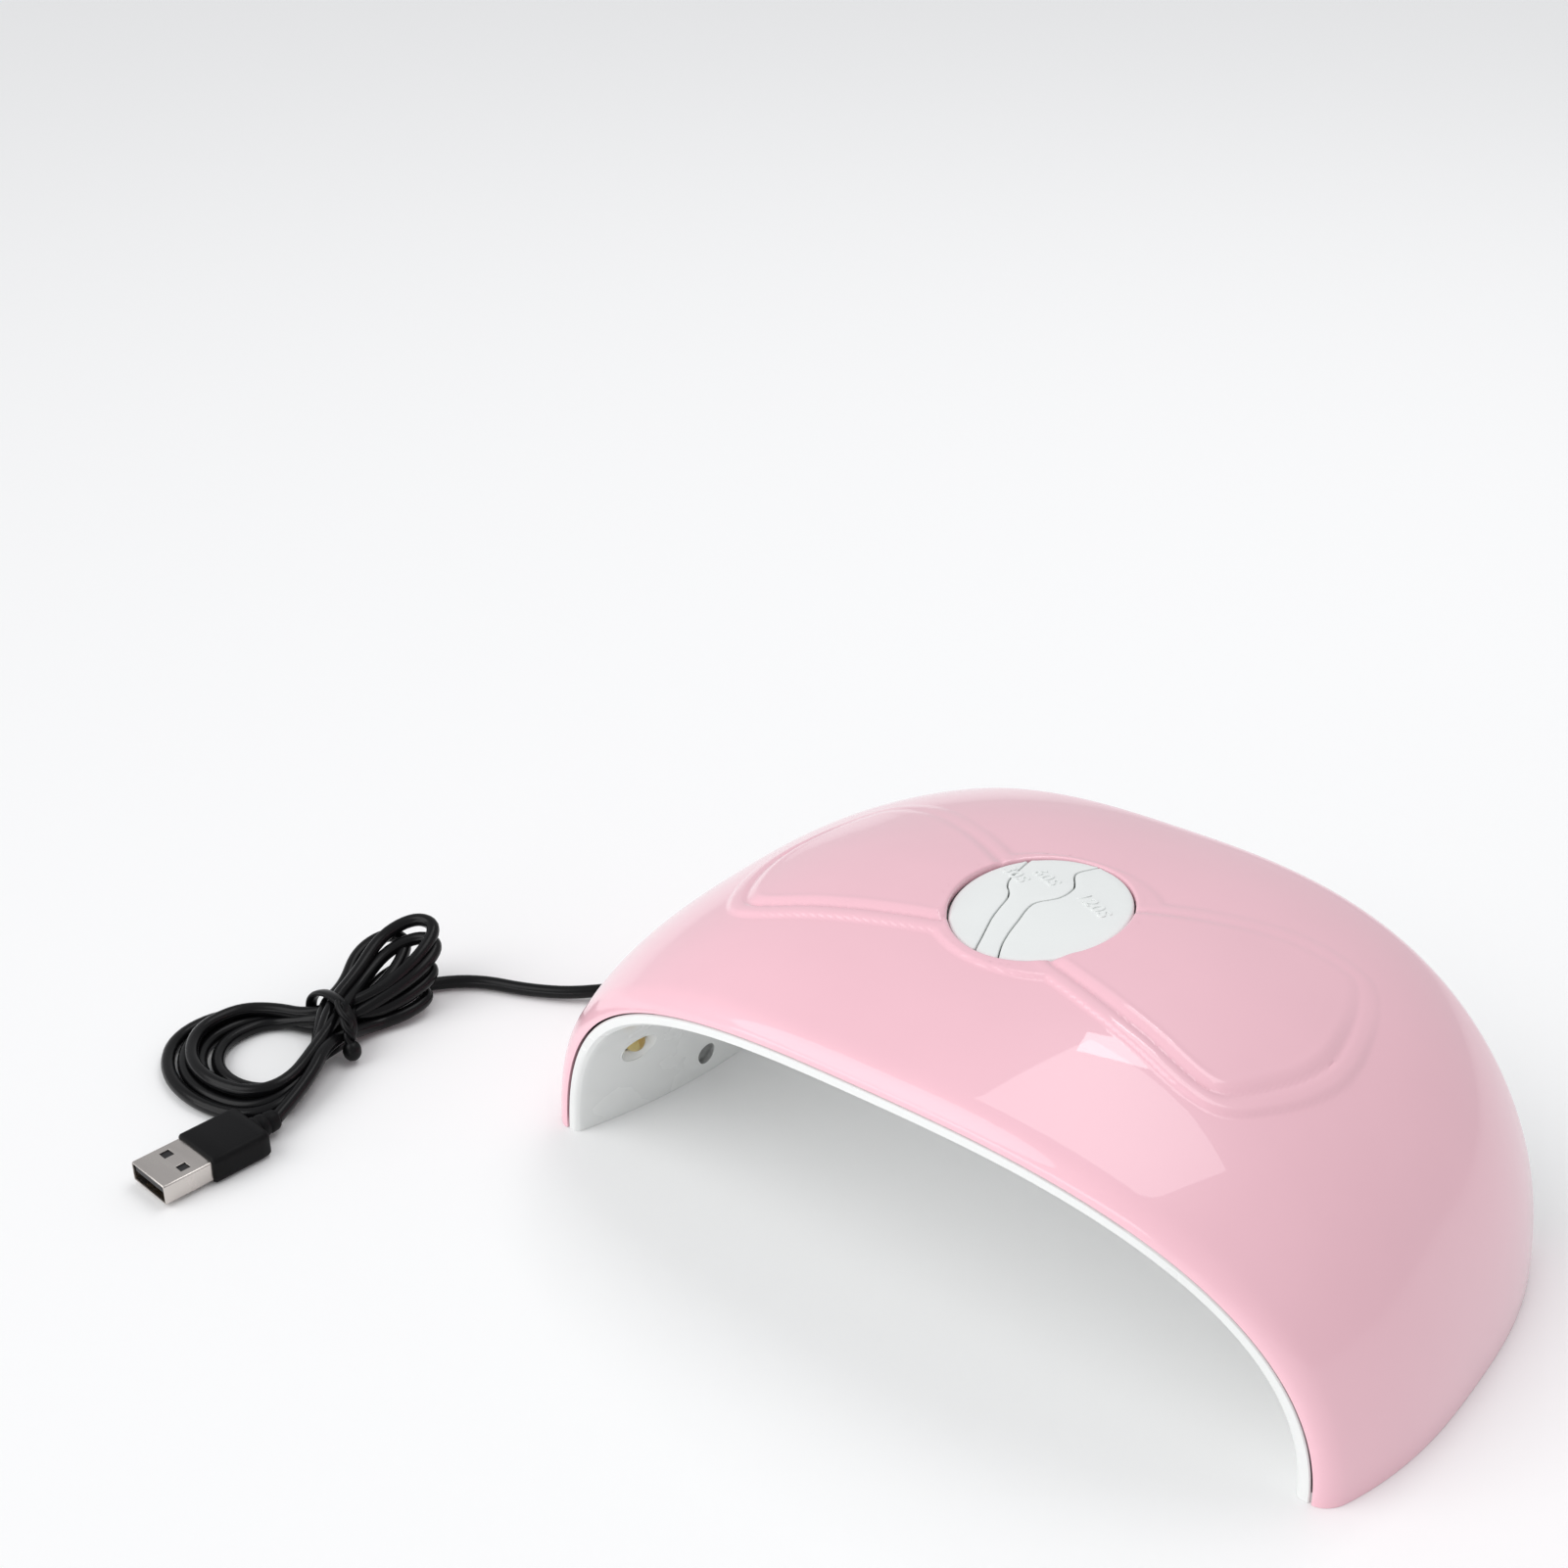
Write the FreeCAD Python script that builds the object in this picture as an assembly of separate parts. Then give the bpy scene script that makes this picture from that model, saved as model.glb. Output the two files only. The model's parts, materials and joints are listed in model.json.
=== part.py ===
import FreeCAD, Part
import math
import os

# UV LED nail lamp. Millimetres. X spans the arch, -Y is the front, Z is up, floor at z = 0.
V = FreeCAD.Vector

# Driving dimensions of the pink cover
HALF_SPAN_EDGE = 84.87      # half span at the front and back edges
SPAN_SWELL = 10.13          # extra half span at mid depth
HEIGHT_EDGE = 54.52         # arch height at the front and back edges
HEIGHT_SWELL = 9.66         # extra height at mid depth
HALF_DEPTH_FOOT = 44.27     # half depth at the floor
DEPTH_FLARE = 12.64         # extra half depth at the crown
ARCH_N = 2.79               # superellipse exponents of the arch section
ARCH_M = 1.97
SWELL_POWER = 2.64
ROLL_START = 0.915          # share of the half depth where the edge starts to roll over
COVER_WALL = 2.0
COVER_LIP = 0.5
RELIEF = 0.8                # height of the raised bow pads

# White inner vault
RIM_SIDE = 3.2
RIM_TOP = 3.1
VAULT_WALL = 1.8
VAULT_BULGE_SIDE = 7.8
VAULT_BULGE_TOP = 3.0
RIM_WALL = 2.3
SOLE_THICK = 2.0
SHELL_GAP = 0.2
SOLE_GAP = 0.9

# Keys
PLATE_X = 0.3
PLATE_Y = -0.5
PLATE_RX = 16.2
PLATE_RY = 20.2
PLATE_TOP = 64.25
PLATE_THICK = 1.8
PLATE_DOME_R = 320.0
KEY_GAP = 0.3
SLIT = 0.3
PLUNGER_R = 1.75
PLUNGER_CLEAR = 0.1
SWITCH_SIZE = 6.0
SWITCH_H = 3.5
SWITCH_SPOTS = ((-12.0, -3.5), (-4.2, 5.0), (7.5, -0.5))

# Boards and LEDs
BOARD_Z = 56.2
BOARD_THICK = 1.2
BOARD_X = 62.0
BOARD_Y = 34.0
POST_X = 27.0
POST_Y = 13.0
LED_PAD = 13.0
LED_PLATE = 1.6
LED_BODY = 5.0
LED_BODY_H = 1.4
LED_LENS_R = 2.3
LED_HOLE_R = 2.9
LED_STANDOFF = 1.9
SIDE_LEDS = ((-33.0, 18.5), (-12.0, 21.0), (12.0, 21.0), (33.0, 18.5))
TOP_LEDS = ((-22.0, -17.0), (22.0, -17.0), (-22.0, 17.0), (22.0, 17.0))

# Housing screws, one pair per foot
SCREW_Z = 5.2
SCREW_YS = (-11.4, 25.0)
SCREW_HEAD_R = 2.2
SCREW_SHANK_R = 1.2
POCKET_R = 2.5
POCKET_DEPTH = 7.0

# Cable, hank and plug
CABLE_D = 3.0
NOTCH_Y = 5.0
NOTCH_W = 15.0
NOTCH_H = 8.6
CABLE_Z = 4.2
PLUG_SPIN = -6.0            # degrees about Z
PLUG_TAIL = (-131.2, -82.5)
PLUG_W = 13.6
PLUG_H = 6.2
PLUG_BODY = 13.5
PLUG_STUB = 5.5
SHELL_W = 12.0
SHELL_H = 4.5
SHELL_OUT = 11.0
SHELL_WALL = 0.35

LEAD_ROUTE = [(-103.0, 3.2, 4.0), (-113.0, -6.5, 2.4), (-125.0, -13.0, 1.6), (-138.5, -17.5, 1.6),
              (-147.0, -27.5, 1.8), (-149.0, -42.0, 3.0)]
TAIL_ROUTE = [(-140.5, -60.0, 6.5), (-134.4, -70.6, 4.6), (-131.2, -82.5, 3.1)]
SLIT_LEFT = [(-11.6, 22.0), (-11.4, 15.5), (-10.9, 10.5), (-10.5, 7.2), (-10.0, 4.2), (-9.0, 2.0),
             (-7.5, 0.2), (-6.4, -2.2), (-5.7, -5.9), (-4.9, -9.6), (-3.8, -13.1), (-2.5, -17.1),
             (-0.8, -23.0)]
SLIT_RIGHT = [(2.0, 22.5), (0.2, 18.2), (-0.8, 16.1), (-1.2, 14.4), (-0.7, 12.8), (0.6, 10.8),
              (1.5, 8.9), (1.7, 6.2), (1.2, 3.8), (0.2, 2.1), (-0.8, 0.6), (-1.4, -1.2), (-1.2, -3.9),
              (-0.4, -7.6), (0.4, -11.8), (1.5, -15.9), (3.0, -19.5), (5.2, -24.0)]
BOW = [(11.0, -20.0), (19.0, -23.6), (26.0, -25.2), (34.0, -26.6), (47.0, -29.4), (55.0, -26.6),
       (61.4, -15.0), (64.2, -3.0), (63.2, 9.0), (59.5, 21.5), (53.6, 28.0), (40.7, 27.1),
       (25.8, 20.2), (15.5, 13.6), (11.0, 0.0)]


def clamp(value, low, high):
    return max(low, min(high, value))


def smooth(value):
    t = clamp(value, 0.0, 1.0)
    return t * t * (3.0 - 2.0 * t)


def arch_angles(count):
    """Angles that space points evenly along the arch section."""
    fine = [arch_xz(90.0, 60.0, math.pi * i / 4000.0) for i in range(4001)]
    run = [0.0]
    for a, b in zip(fine, fine[1:]):
        run.append(run[-1] + math.hypot(b[0] - a[0], b[1] - a[1]))
    angles = []
    j = 0
    for i in range(count):
        target = run[-1] * i / (count - 1)
        while j < 3999 and run[j + 1] < target:
            j += 1
        share = (target - run[j]) / (run[j + 1] - run[j])
        angles.append(math.pi * (j + share) / 4000.0)
    return angles


def arch_xz(half_span, height, angle):
    c = math.cos(angle)
    s = max(math.sin(angle), 0.0)
    x = half_span * math.copysign(abs(c) ** (2.0 / ARCH_N), c)
    return x, height * s ** (2.0 / ARCH_M)


def swell(v):
    k = clamp((abs(v) - ROLL_START) / (1.0 - ROLL_START), 0.0, 1.0)
    return 0.25 * math.sqrt(1.0 - k * k) + 0.75 * (1.0 - abs(v) ** SWELL_POWER)


def depth_samples():
    """Depth stations, close together where the edge rolls over."""
    roll = [ROLL_START + (1.0 - ROLL_START) * math.sin(math.radians(a)) for a in (0, 18, 36, 54, 72, 90)]
    flat = [ROLL_START * i / 15.0 for i in range(15)]
    half = flat + roll
    return [-v for v in reversed(half[1:])] + half


def cover_point(v, angle, inset):
    w = swell(v)
    half_span = HALF_SPAN_EDGE + SPAN_SWELL * w - inset
    height = HEIGHT_EDGE + HEIGHT_SWELL * w - inset
    x, z = arch_xz(half_span, height, angle)
    y = v * (HALF_DEPTH_FOOT + DEPTH_FLARE * (z / height) ** 2)
    return V(x, y, z)


def cover_inset(v):
    return COVER_WALL + (COVER_LIP - COVER_WALL) * smooth((abs(v) - 0.93) / 0.07)


def vault_point(v, angle, outset):
    bulge = 1.0 - v * v
    half_span = HALF_SPAN_EDGE - RIM_SIDE - VAULT_BULGE_SIDE * bulge + outset
    height = HEIGHT_EDGE - RIM_TOP - VAULT_BULGE_TOP * bulge + outset
    x, z = arch_xz(half_span, height, angle)
    y = v * (HALF_DEPTH_FOOT + DEPTH_FLARE * (z / height) ** 2)
    return V(x, y, z)


def vault_outset(v):
    return VAULT_WALL + (RIM_WALL - VAULT_WALL) * smooth((abs(v) - 0.93) / 0.07)


def inside_distance(x, y, loop):
    """Distance inside a closed plan outline, negative outside."""
    best = 1e9
    inside = False
    for (ax, ay), (bx, by) in zip(loop, loop[1:] + loop[:1]):
        dx = bx - ax
        dy = by - ay
        t = clamp(((x - ax) * dx + (y - ay) * dy) / (dx * dx + dy * dy), 0.0, 1.0)
        best = min(best, math.hypot(x - ax - t * dx, y - ay - t * dy))
        if (ay > y) != (by > y) and x < ax + (y - ay) * dx / dy:
            inside = not inside
    return best if inside else -best


def relief(point):
    """Height of the raised bow pads above the plain arch."""
    if point.z < 35.0:
        return 0.0
    return RELIEF * smooth(inside_distance(abs(point.x), point.y, BOW) / 3.0)


def grid_surface(rows):
    surface = Part.BSplineSurface()
    surface.interpolate(rows)
    return surface


def skin_solid(outer_rows, inner_rows):
    """Closed wall between two surfaces sampled on the same grid."""
    outer = grid_surface(outer_rows)
    inner = grid_surface(inner_rows)
    faces = [outer.toShape(), inner.toShape()]
    u0, u1, v0, v1 = outer.bounds()
    p0, p1, q0, q1 = inner.bounds()
    pairs = [(outer.uIso(u0), inner.uIso(p0)), (outer.uIso(u1), inner.uIso(p1)),
             (outer.vIso(v0), inner.vIso(q0)), (outer.vIso(v1), inner.vIso(q1))]
    for a, b in pairs:
        faces.append(Part.makeRuledSurface(a.toShape(), b.toShape()))
    shell = Part.makeShell(faces)
    shell.sewShape()
    solid = Part.makeSolid(Part.Shell(shell.Faces))
    if solid.Volume < 0:
        solid.reverse()
    return solid


def box(x0, x1, y0, y1, z0, z1):
    return Part.makeBox(x1 - x0, y1 - y0, z1 - z0, V(x0, y0, z0))


def rod(radius, start, end):
    axis = end - start
    return Part.makeCylinder(radius, axis.Length, start, axis)


def tube_route(points, radius, share=0.45, report=None):
    """Straight runs joined by tangent arcs, swept with a round section."""
    pts = [V(*p) for p in points]
    edges = []
    radii = []
    last = pts[0]
    for a, b, c in zip(pts, pts[1:], pts[2:]):
        u = (a - b).normalize()
        w = (c - b).normalize()
        turn = math.pi - u.getAngle(w)
        bend = share * min((a - b).Length, (c - b).Length) / math.tan(turn / 2.0)
        cut = bend * math.tan(turn / 2.0)
        start = b + u * cut
        end = b + w * cut
        bisector = (u + w).normalize()
        middle = b + bisector * (bend / math.cos(turn / 2.0) - bend)
        edges.append(Part.LineSegment(last, start).toShape())
        edges.append(Part.Arc(start, middle, end).toShape())
        radii.append(bend)
        last = end
    edges.append(Part.LineSegment(last, pts[-1]).toShape())
    wire = Part.Wire(edges)
    ring = Part.Wire([Part.Circle(pts[0], pts[1] - pts[0], radius).toShape()])
    solid = wire.makePipeShell([ring], True, False)
    if report:
        section = math.pi * radius * radius * wire.Length
        print(report, "radii", [round(r, 1) for r in radii], "length", round(wire.Length, 1),
              "volume ratio", round(solid.Volume / section, 4))
    return solid


def ellipse_prism(cx, cy, rx, ry, z0, z1):
    if rx >= ry:
        curve = Part.Ellipse(V(cx + rx, cy, z0), V(cx, cy + ry, z0), V(cx, cy, z0))
    else:
        curve = Part.Ellipse(V(cx, cy + ry, z0), V(cx - rx, cy, z0), V(cx, cy, z0))
    face = Part.Face(Part.Wire([curve.toShape()]))
    return face.extrude(V(0, 0, z1 - z0))


def strip_prism(points, width, z0, z1):
    """Thin upright wall along a smooth plan curve, used to cut the slits."""
    left = []
    right = []
    for i, (x, y) in enumerate(points):
        ax, ay = points[max(i - 1, 0)]
        bx, by = points[min(i + 1, len(points) - 1)]
        run = math.hypot(bx - ax, by - ay)
        nx = (by - ay) / run * width / 2.0
        ny = -(bx - ax) / run * width / 2.0
        left.append(V(x + nx, y + ny, z0))
        right.append(V(x - nx, y - ny, z0))
    curves = []
    for side in (left, right):
        curve = Part.BSplineCurve()
        curve.interpolate(side)
        curves.append(curve.toShape())
    ends = [Part.LineSegment(left[0], right[0]).toShape(), Part.LineSegment(left[-1], right[-1]).toShape()]
    wire = Part.Wire(Part.__sortEdges__(curves + ends))
    return Part.Face(wire).extrude(V(0, 0, z1 - z0))


def vault_spot(side, y, z):
    """Point on the inner face of a leg, and the unit normal pointing into the cavity."""
    v = y / (HALF_DEPTH_FOOT + DEPTH_FLARE * (z / 50.0) ** 2)
    height = HEIGHT_EDGE - RIM_TOP - VAULT_BULGE_TOP * (1.0 - v * v)
    angle = math.asin((z / height) ** (ARCH_M / 2.0))
    if side < 0:
        angle = math.pi - angle
    return spot_frame(v, angle)


def crown_spot(x, y):
    """The same for a point on the vault's roof."""
    v = y / (HALF_DEPTH_FOOT + DEPTH_FLARE)
    half_span = HALF_SPAN_EDGE - RIM_SIDE - VAULT_BULGE_SIDE * (1.0 - v * v)
    angle = math.acos(math.copysign((abs(x) / half_span) ** (ARCH_N / 2.0), x))
    return spot_frame(v, angle)


def spot_frame(v, angle):
    here = vault_point(v, angle, 0.0)
    step = 0.01
    across = vault_point(v + step, angle, 0.0) - vault_point(v - step, angle, 0.0)
    along = vault_point(v, angle + step, 0.0) - vault_point(v, angle - step, 0.0)
    normal = across.cross(along).normalize()
    if normal.dot(V(here.x, 0, here.z - 20.0)) < 0:
        normal = normal * -1.0
    return here, normal


def placed_plate(here, normal, size, near, far):
    """Square plate across a normal, between two distances along it."""
    plate = Part.makeBox(size, size, far - near, V(-size / 2.0, -size / 2.0, near))
    plate.Placement = FreeCAD.Placement(here, FreeCAD.Rotation(V(0, 0, 1), normal))
    return plate


def fused(shapes):
    result = shapes[0]
    for shape in shapes[1:]:
        result = result.fuse(shape)
    return result


def group(shapes):
    return Part.makeCompound(shapes)


def save(name, shape):
    shape.exportStep("parts/" + name + ".step")
    solids = shape.Solids
    valid = all(s.isValid() for s in solids)
    print(name, "solids", len(solids), "volume", round(sum(s.Volume for s in solids), 1), "valid", valid)


def make_cover(angles, depths):
    outer = []
    inner = []
    for v in depths:
        row = []
        for a in angles:
            p = cover_point(v, a, 0.0)
            up = V(p.x / 95.0 ** 2 * 20.0, 0.0, 1.0).normalize()
            row.append(p + up * relief(p))
        outer.append(row)
        inner.append([cover_point(v, a, cover_inset(v)) for a in angles])
    shell = skin_solid(outer, inner)
    posts = []
    for sx in (-1, 1):
        for sy in (-1, 1):
            top = V(sx * POST_X, sy * POST_Y, 62.4)
            posts.append(rod(2.6, V(sx * POST_X, sy * POST_Y, BOARD_Z + BOARD_THICK), top))
    bosses = [rod(3.2, V(s * 85.4, y, SCREW_Z), V(s * 91.9, y, SCREW_Z)) for s in (-1, 1) for y in SCREW_YS]
    body = fused([shell] + posts + bosses)
    pilots = []
    for sx in (-1, 1):
        for sy in (-1, 1):
            foot = V(sx * POST_X, sy * POST_Y, BOARD_Z)
            pilots.append(rod(0.8, foot, foot + V(0, 0, 5.2)))
        for y in SCREW_YS:
            pilots.append(rod(1.0, V(sx * 84.0, y, SCREW_Z), V(sx * 92.0, y, SCREW_Z)))
    opening = ellipse_prism(PLATE_X, PLATE_Y, PLATE_RX + KEY_GAP, PLATE_RY + KEY_GAP, 58.0, 70.0)
    y0 = NOTCH_Y - NOTCH_W / 2.0
    notch = box(-99.0, -89.0, y0, y0 + NOTCH_W, -1.0, NOTCH_H - 3.0)
    notch = notch.fuse(box(-99.0, -89.0, y0 + 3.0, y0 + NOTCH_W - 3.0, -1.0, NOTCH_H))
    for y in (y0 + 3.0, y0 + NOTCH_W - 3.0):
        notch = notch.fuse(rod(3.0, V(-99.0, y, NOTCH_H - 3.0), V(-89.0, y, NOTCH_H - 3.0)))
    return body.cut(group(pilots + [opening])).cut(notch)


def foot_sole(side):
    """Lens-shaped plate that closes a foot between the two walls."""
    outer = []
    inner = []
    for i in range(25):
        v = -1.0 + 2.0 * i / 24.0
        edge = HALF_SPAN_EDGE + SPAN_SWELL * swell(v) - cover_inset(v) - SOLE_GAP
        y = v * HALF_DEPTH_FOOT
        outer.append(V(side * edge, y, 0.0))
        wall = HALF_SPAN_EDGE - RIM_SIDE - VAULT_BULGE_SIDE * (1.0 - v * v)
        inner.append(V(side * (wall + 0.9), y, 0.0))
    curves = []
    for points in (outer, inner):
        curve = Part.BSplineCurve()
        curve.interpolate(points)
        curves.append(curve.toShape())
    ends = [Part.LineSegment(outer[0], inner[0]).toShape(), Part.LineSegment(outer[-1], inner[-1]).toShape()]
    wire = Part.Wire(Part.__sortEdges__(curves + ends))
    return Part.Face(wire).extrude(V(0, 0, SOLE_THICK))


def make_vault(angles, depths):
    inner = [[vault_point(v, a, 0.0) for a in angles] for v in depths]
    outer = [[vault_point(v, a, vault_outset(v)) for a in angles] for v in depths]
    shell = skin_solid(outer, inner)
    body = fused([shell, foot_sole(-1), foot_sole(1)])
    cups = []
    wells = []
    for s in (-1, 1):
        for y in SCREW_YS:
            here, normal = vault_spot(s, y, SCREW_Z)
            start = abs(here.x)
            end = start + POCKET_DEPTH
            cups.append(rod(POCKET_R + 1.2, V(s * (start + 0.9), y, SCREW_Z), V(s * (end + 1.6), y, SCREW_Z)))
            wells.append(rod(POCKET_R, V(s * (start - 4.0), y, SCREW_Z), V(s * end, y, SCREW_Z)))
            wells.append(rod(SCREW_SHANK_R + 0.2, V(s * (end - 1.0), y, SCREW_Z), V(s * (end + 3.0), y, SCREW_Z)))
    body = fused([body] + cups)
    for here, normal in led_spots():
        wells.append(rod(LED_HOLE_R, here - normal * 3.0, here + normal * 4.0))
    y0 = NOTCH_Y - NOTCH_W / 2.0 - 1.0
    wells.append(box(-100.0, -86.0, y0, y0 + NOTCH_W + 2.0, -1.0, SOLE_THICK + 1.0))
    return body.cut(group(wells))


def led_spots():
    spots = [vault_spot(s, y, z) for s in (-1, 1) for y, z in SIDE_LEDS]
    return spots + [crown_spot(x, y) for x, y in TOP_LEDS]


def make_plate():
    prism = ellipse_prism(PLATE_X, PLATE_Y, PLATE_RX, PLATE_RY, PLATE_TOP - PLATE_THICK, 70.0)
    centre = V(PLATE_X, PLATE_Y, PLATE_TOP - PLATE_DOME_R)
    plate = prism.common(Part.makeSphere(PLATE_DOME_R, centre, V(0, 0, 1), 80.0, 90.0, 360.0))
    cuts = [strip_prism(route, SLIT, 50.0, 75.0) for route in (SLIT_LEFT, SLIT_RIGHT)]
    pieces = plate.cut(group(cuts)).Solids
    return sorted(pieces, key=lambda s: s.CenterOfMass.x)


def make_switches():
    bodies = []
    plungers = []
    foot = BOARD_Z + BOARD_THICK
    key_foot = PLATE_TOP - PLATE_THICK
    for x, y in SWITCH_SPOTS:
        half = SWITCH_SIZE / 2.0
        body = box(x - half, x + half, y - half, y + half, foot, foot + SWITCH_H)
        well = rod(PLUNGER_R + PLUNGER_CLEAR, V(x, y, foot + 1.2), V(x, y, foot + SWITCH_H + 1.0))
        bodies.append(body.cut(well))
        plungers.append(rod(PLUNGER_R, V(x, y, foot + 2.1), V(x, y, key_foot)))
    return group(bodies), plungers


def make_carrier():
    """Ring under the keys, on four legs that stand on the control board."""
    ring = ellipse_prism(PLATE_X, PLATE_Y, PLATE_RX + 2.6, PLATE_RY + 1.4, 60.0, 61.3)
    ring = ring.cut(ellipse_prism(PLATE_X, PLATE_Y, PLATE_RX - 2.0, PLATE_RY - 2.0, 59.0, 62.0))
    ring = ring.cut(box(-15.5, -8.5, -7.0, 0.0, 59.0, 62.0))
    legs = []
    for sx in (-1, 1):
        for sy in (-1, 1):
            x = PLATE_X + sx * 12.6
            y = PLATE_Y + sy * 13.6
            legs.append(rod(1.3, V(x, y, BOARD_Z + BOARD_THICK), V(x, y, 60.6)))
    return fused([ring] + legs)


def make_control_board():
    board = box(-BOARD_X / 2.0, BOARD_X / 2.0, -BOARD_Y / 2.0, BOARD_Y / 2.0, BOARD_Z, BOARD_Z + BOARD_THICK)
    holes = [rod(1.2, V(sx * POST_X, sy * POST_Y, 50.0), V(sx * POST_X, sy * POST_Y, 60.0))
             for sx in (-1, 1) for sy in (-1, 1)]
    return board.cut(group(holes))


def make_board_parts():
    top = BOARD_Z + BOARD_THICK
    low = BOARD_Z
    parts = [rod(2.5, V(22.0, 0.0, top), V(22.0, 0.0, top + 3.2)), box(12.0, 15.2, -12.5, -10.9, top, top + 0.8)]
    for i in range(4):
        parts.append(box(-24.0 + 2.6 * i, -22.4 + 2.6 * i, -14.4, -13.6, top, top + 0.5))
    for y in (-6.0, 6.0):
        parts.append(box(-1.6, 1.6, y - 1.3, y + 1.3, low - 1.2, low))
    return group(parts)


def board_screw(x, y):
    head = rod(1.9, V(x, y, BOARD_Z - 1.3), V(x, y, BOARD_Z))
    shank = rod(0.9, V(x, y, BOARD_Z - 0.5), V(x, y, BOARD_Z + BOARD_THICK + 3.6))
    return head.fuse(shank)


def housing_screw(side, y):
    here, normal = vault_spot(side, y, SCREW_Z)
    seat = abs(here.x) + POCKET_DEPTH
    head = rod(SCREW_HEAD_R, V(side * (seat - 1.6), y, SCREW_Z), V(side * seat, y, SCREW_Z))
    shank = rod(SCREW_SHANK_R, V(side * (seat - 0.4), y, SCREW_Z), V(side * 91.0, y, SCREW_Z))
    return head.fuse(shank)


def make_leds():
    plates = {"left": [], "right": [], "top": []}
    bodies = []
    lenses = []
    for here, normal in led_spots():
        where = "top" if abs(here.x) < 40.0 else ("left" if here.x < 0 else "right")
        seat = LED_STANDOFF + LED_BODY_H
        plates[where].append(placed_plate(here, normal, LED_PAD, seat, seat + LED_PLATE))
        bodies.append(placed_plate(here, normal, LED_BODY, LED_STANDOFF, seat))
        dome = Part.makeSphere(LED_LENS_R, here + normal * LED_STANDOFF, normal * -1.0, 0.0, 90.0, 360.0)
        lenses.append(dome)
    return plates, bodies, lenses


def make_hookup(y):
    """One conductor to each leg, over the shoulder of the vault."""
    return group([tube_route([(s * 31.4, y, 56.8), (s * 44.0, y, 53.4), (s * 57.5, y, 47.2), (s * 69.5, y, 37.0),
                              (s * 78.6, y * 0.9, 24.0)], 0.6) for s in (-1, 1)])


def make_strain_relief():
    y0 = NOTCH_Y - NOTCH_W / 2.0 + SHELL_GAP
    wide = NOTCH_W - 2.0 * SHELL_GAP
    block = box(-96.2, -87.0, y0, y0 + wide, 0.4, NOTCH_H - SHELL_GAP)
    edges = [e for e in block.Edges if abs(e.tangentAt(e.FirstParameter).x) > 0.9 and e.CenterOfMass.z > 4.0]
    block = block.makeFillet(2.8, edges)
    heading = V(LEAD_ROUTE[0][0], LEAD_ROUTE[0][1], LEAD_ROUTE[0][2])
    root = V(-95.5, NOTCH_Y, CABLE_Z + 0.2)
    sleeve = Part.makeCone(3.3, 2.1, (heading - root).Length, root, heading - root)
    return block.fuse(sleeve)


def make_hank():
    """Outer shape of the tied figure-eight bundle, lofted from front to back."""
    stations = [(-90.5, -150.0, 4.0, 0.6, 5.0), (-88.0, -151.0, 11.0, 0.1, 6.6), (-82.0, -152.5, 18.5, 0.0, 8.0),
                (-73.0, -154.0, 21.0, 0.0, 9.2), (-65.0, -153.5, 18.0, 0.0, 10.4), (-58.0, -150.6, 12.0, 0.0, 12.0),
                (-51.0, -149.0, 8.6, 0.0, 13.2), (-43.0, -149.8, 9.8, 0.0, 14.2), (-34.0, -151.6, 12.2, 0.0, 16.0),
                (-27.0, -152.0, 11.6, 0.4, 18.0), (-22.5, -151.0, 8.2, 3.0, 18.2), (-20.0, -150.0, 4.0, 8.0, 16.0)]
    wires = []
    for y, xc, half, low, high in stations:
        zc = (low + high) / 2.0
        tall = (high - low) / 2.0
        ring = []
        for i in range(20):
            a = 2.0 * math.pi * i / 20.0
            c = math.cos(a)
            s = math.sin(a)
            ring.append(V(xc + half * math.copysign(abs(c) ** 0.8, c), y, zc + tall * math.copysign(abs(s) ** 0.8, s)))
        curve = Part.BSplineCurve()
        curve.interpolate(ring, PeriodicFlag=True)
        wires.append(Part.Wire([curve.toShape()]))
    return Part.makeLoft(wires, True, False)


def upright_band(centre, turn):
    """Places a flat band on edge, its long axis level and turned about Z."""
    flat = FreeCAD.Placement(V(0, 0, 0), FreeCAD.Rotation(V(1, 0, 0), 90.0))
    return FreeCAD.Placement(centre, FreeCAD.Rotation(V(0, 0, 1), -turn)).multiply(flat)


def make_tie():
    """Wire tie round the waist of the hank, with its twisted end."""
    outer = ellipse_prism(0.0, 0.0, 10.4, 7.4, 0.0, 2.6)
    inner = ellipse_prism(0.0, 0.0, 8.6, 5.8, -1.0, 4.0)
    band = outer.cut(inner)
    band.Placement = upright_band(V(-149.2, -51.5, 7.45), 14.0)
    start = V(-140.6, -54.6, 9.6)
    end = V(-137.6, -55.6, 2.0)
    nub = rod(1.5, start, end).fuse(Part.makeSphere(1.5, end))
    return band.fuse(nub)


def plug_place(shape):
    spin = FreeCAD.Rotation(V(0, 0, 1), PLUG_SPIN)
    shape.Placement = FreeCAD.Placement(V(PLUG_TAIL[0], PLUG_TAIL[1], 0.0), spin)
    return shape


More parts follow.
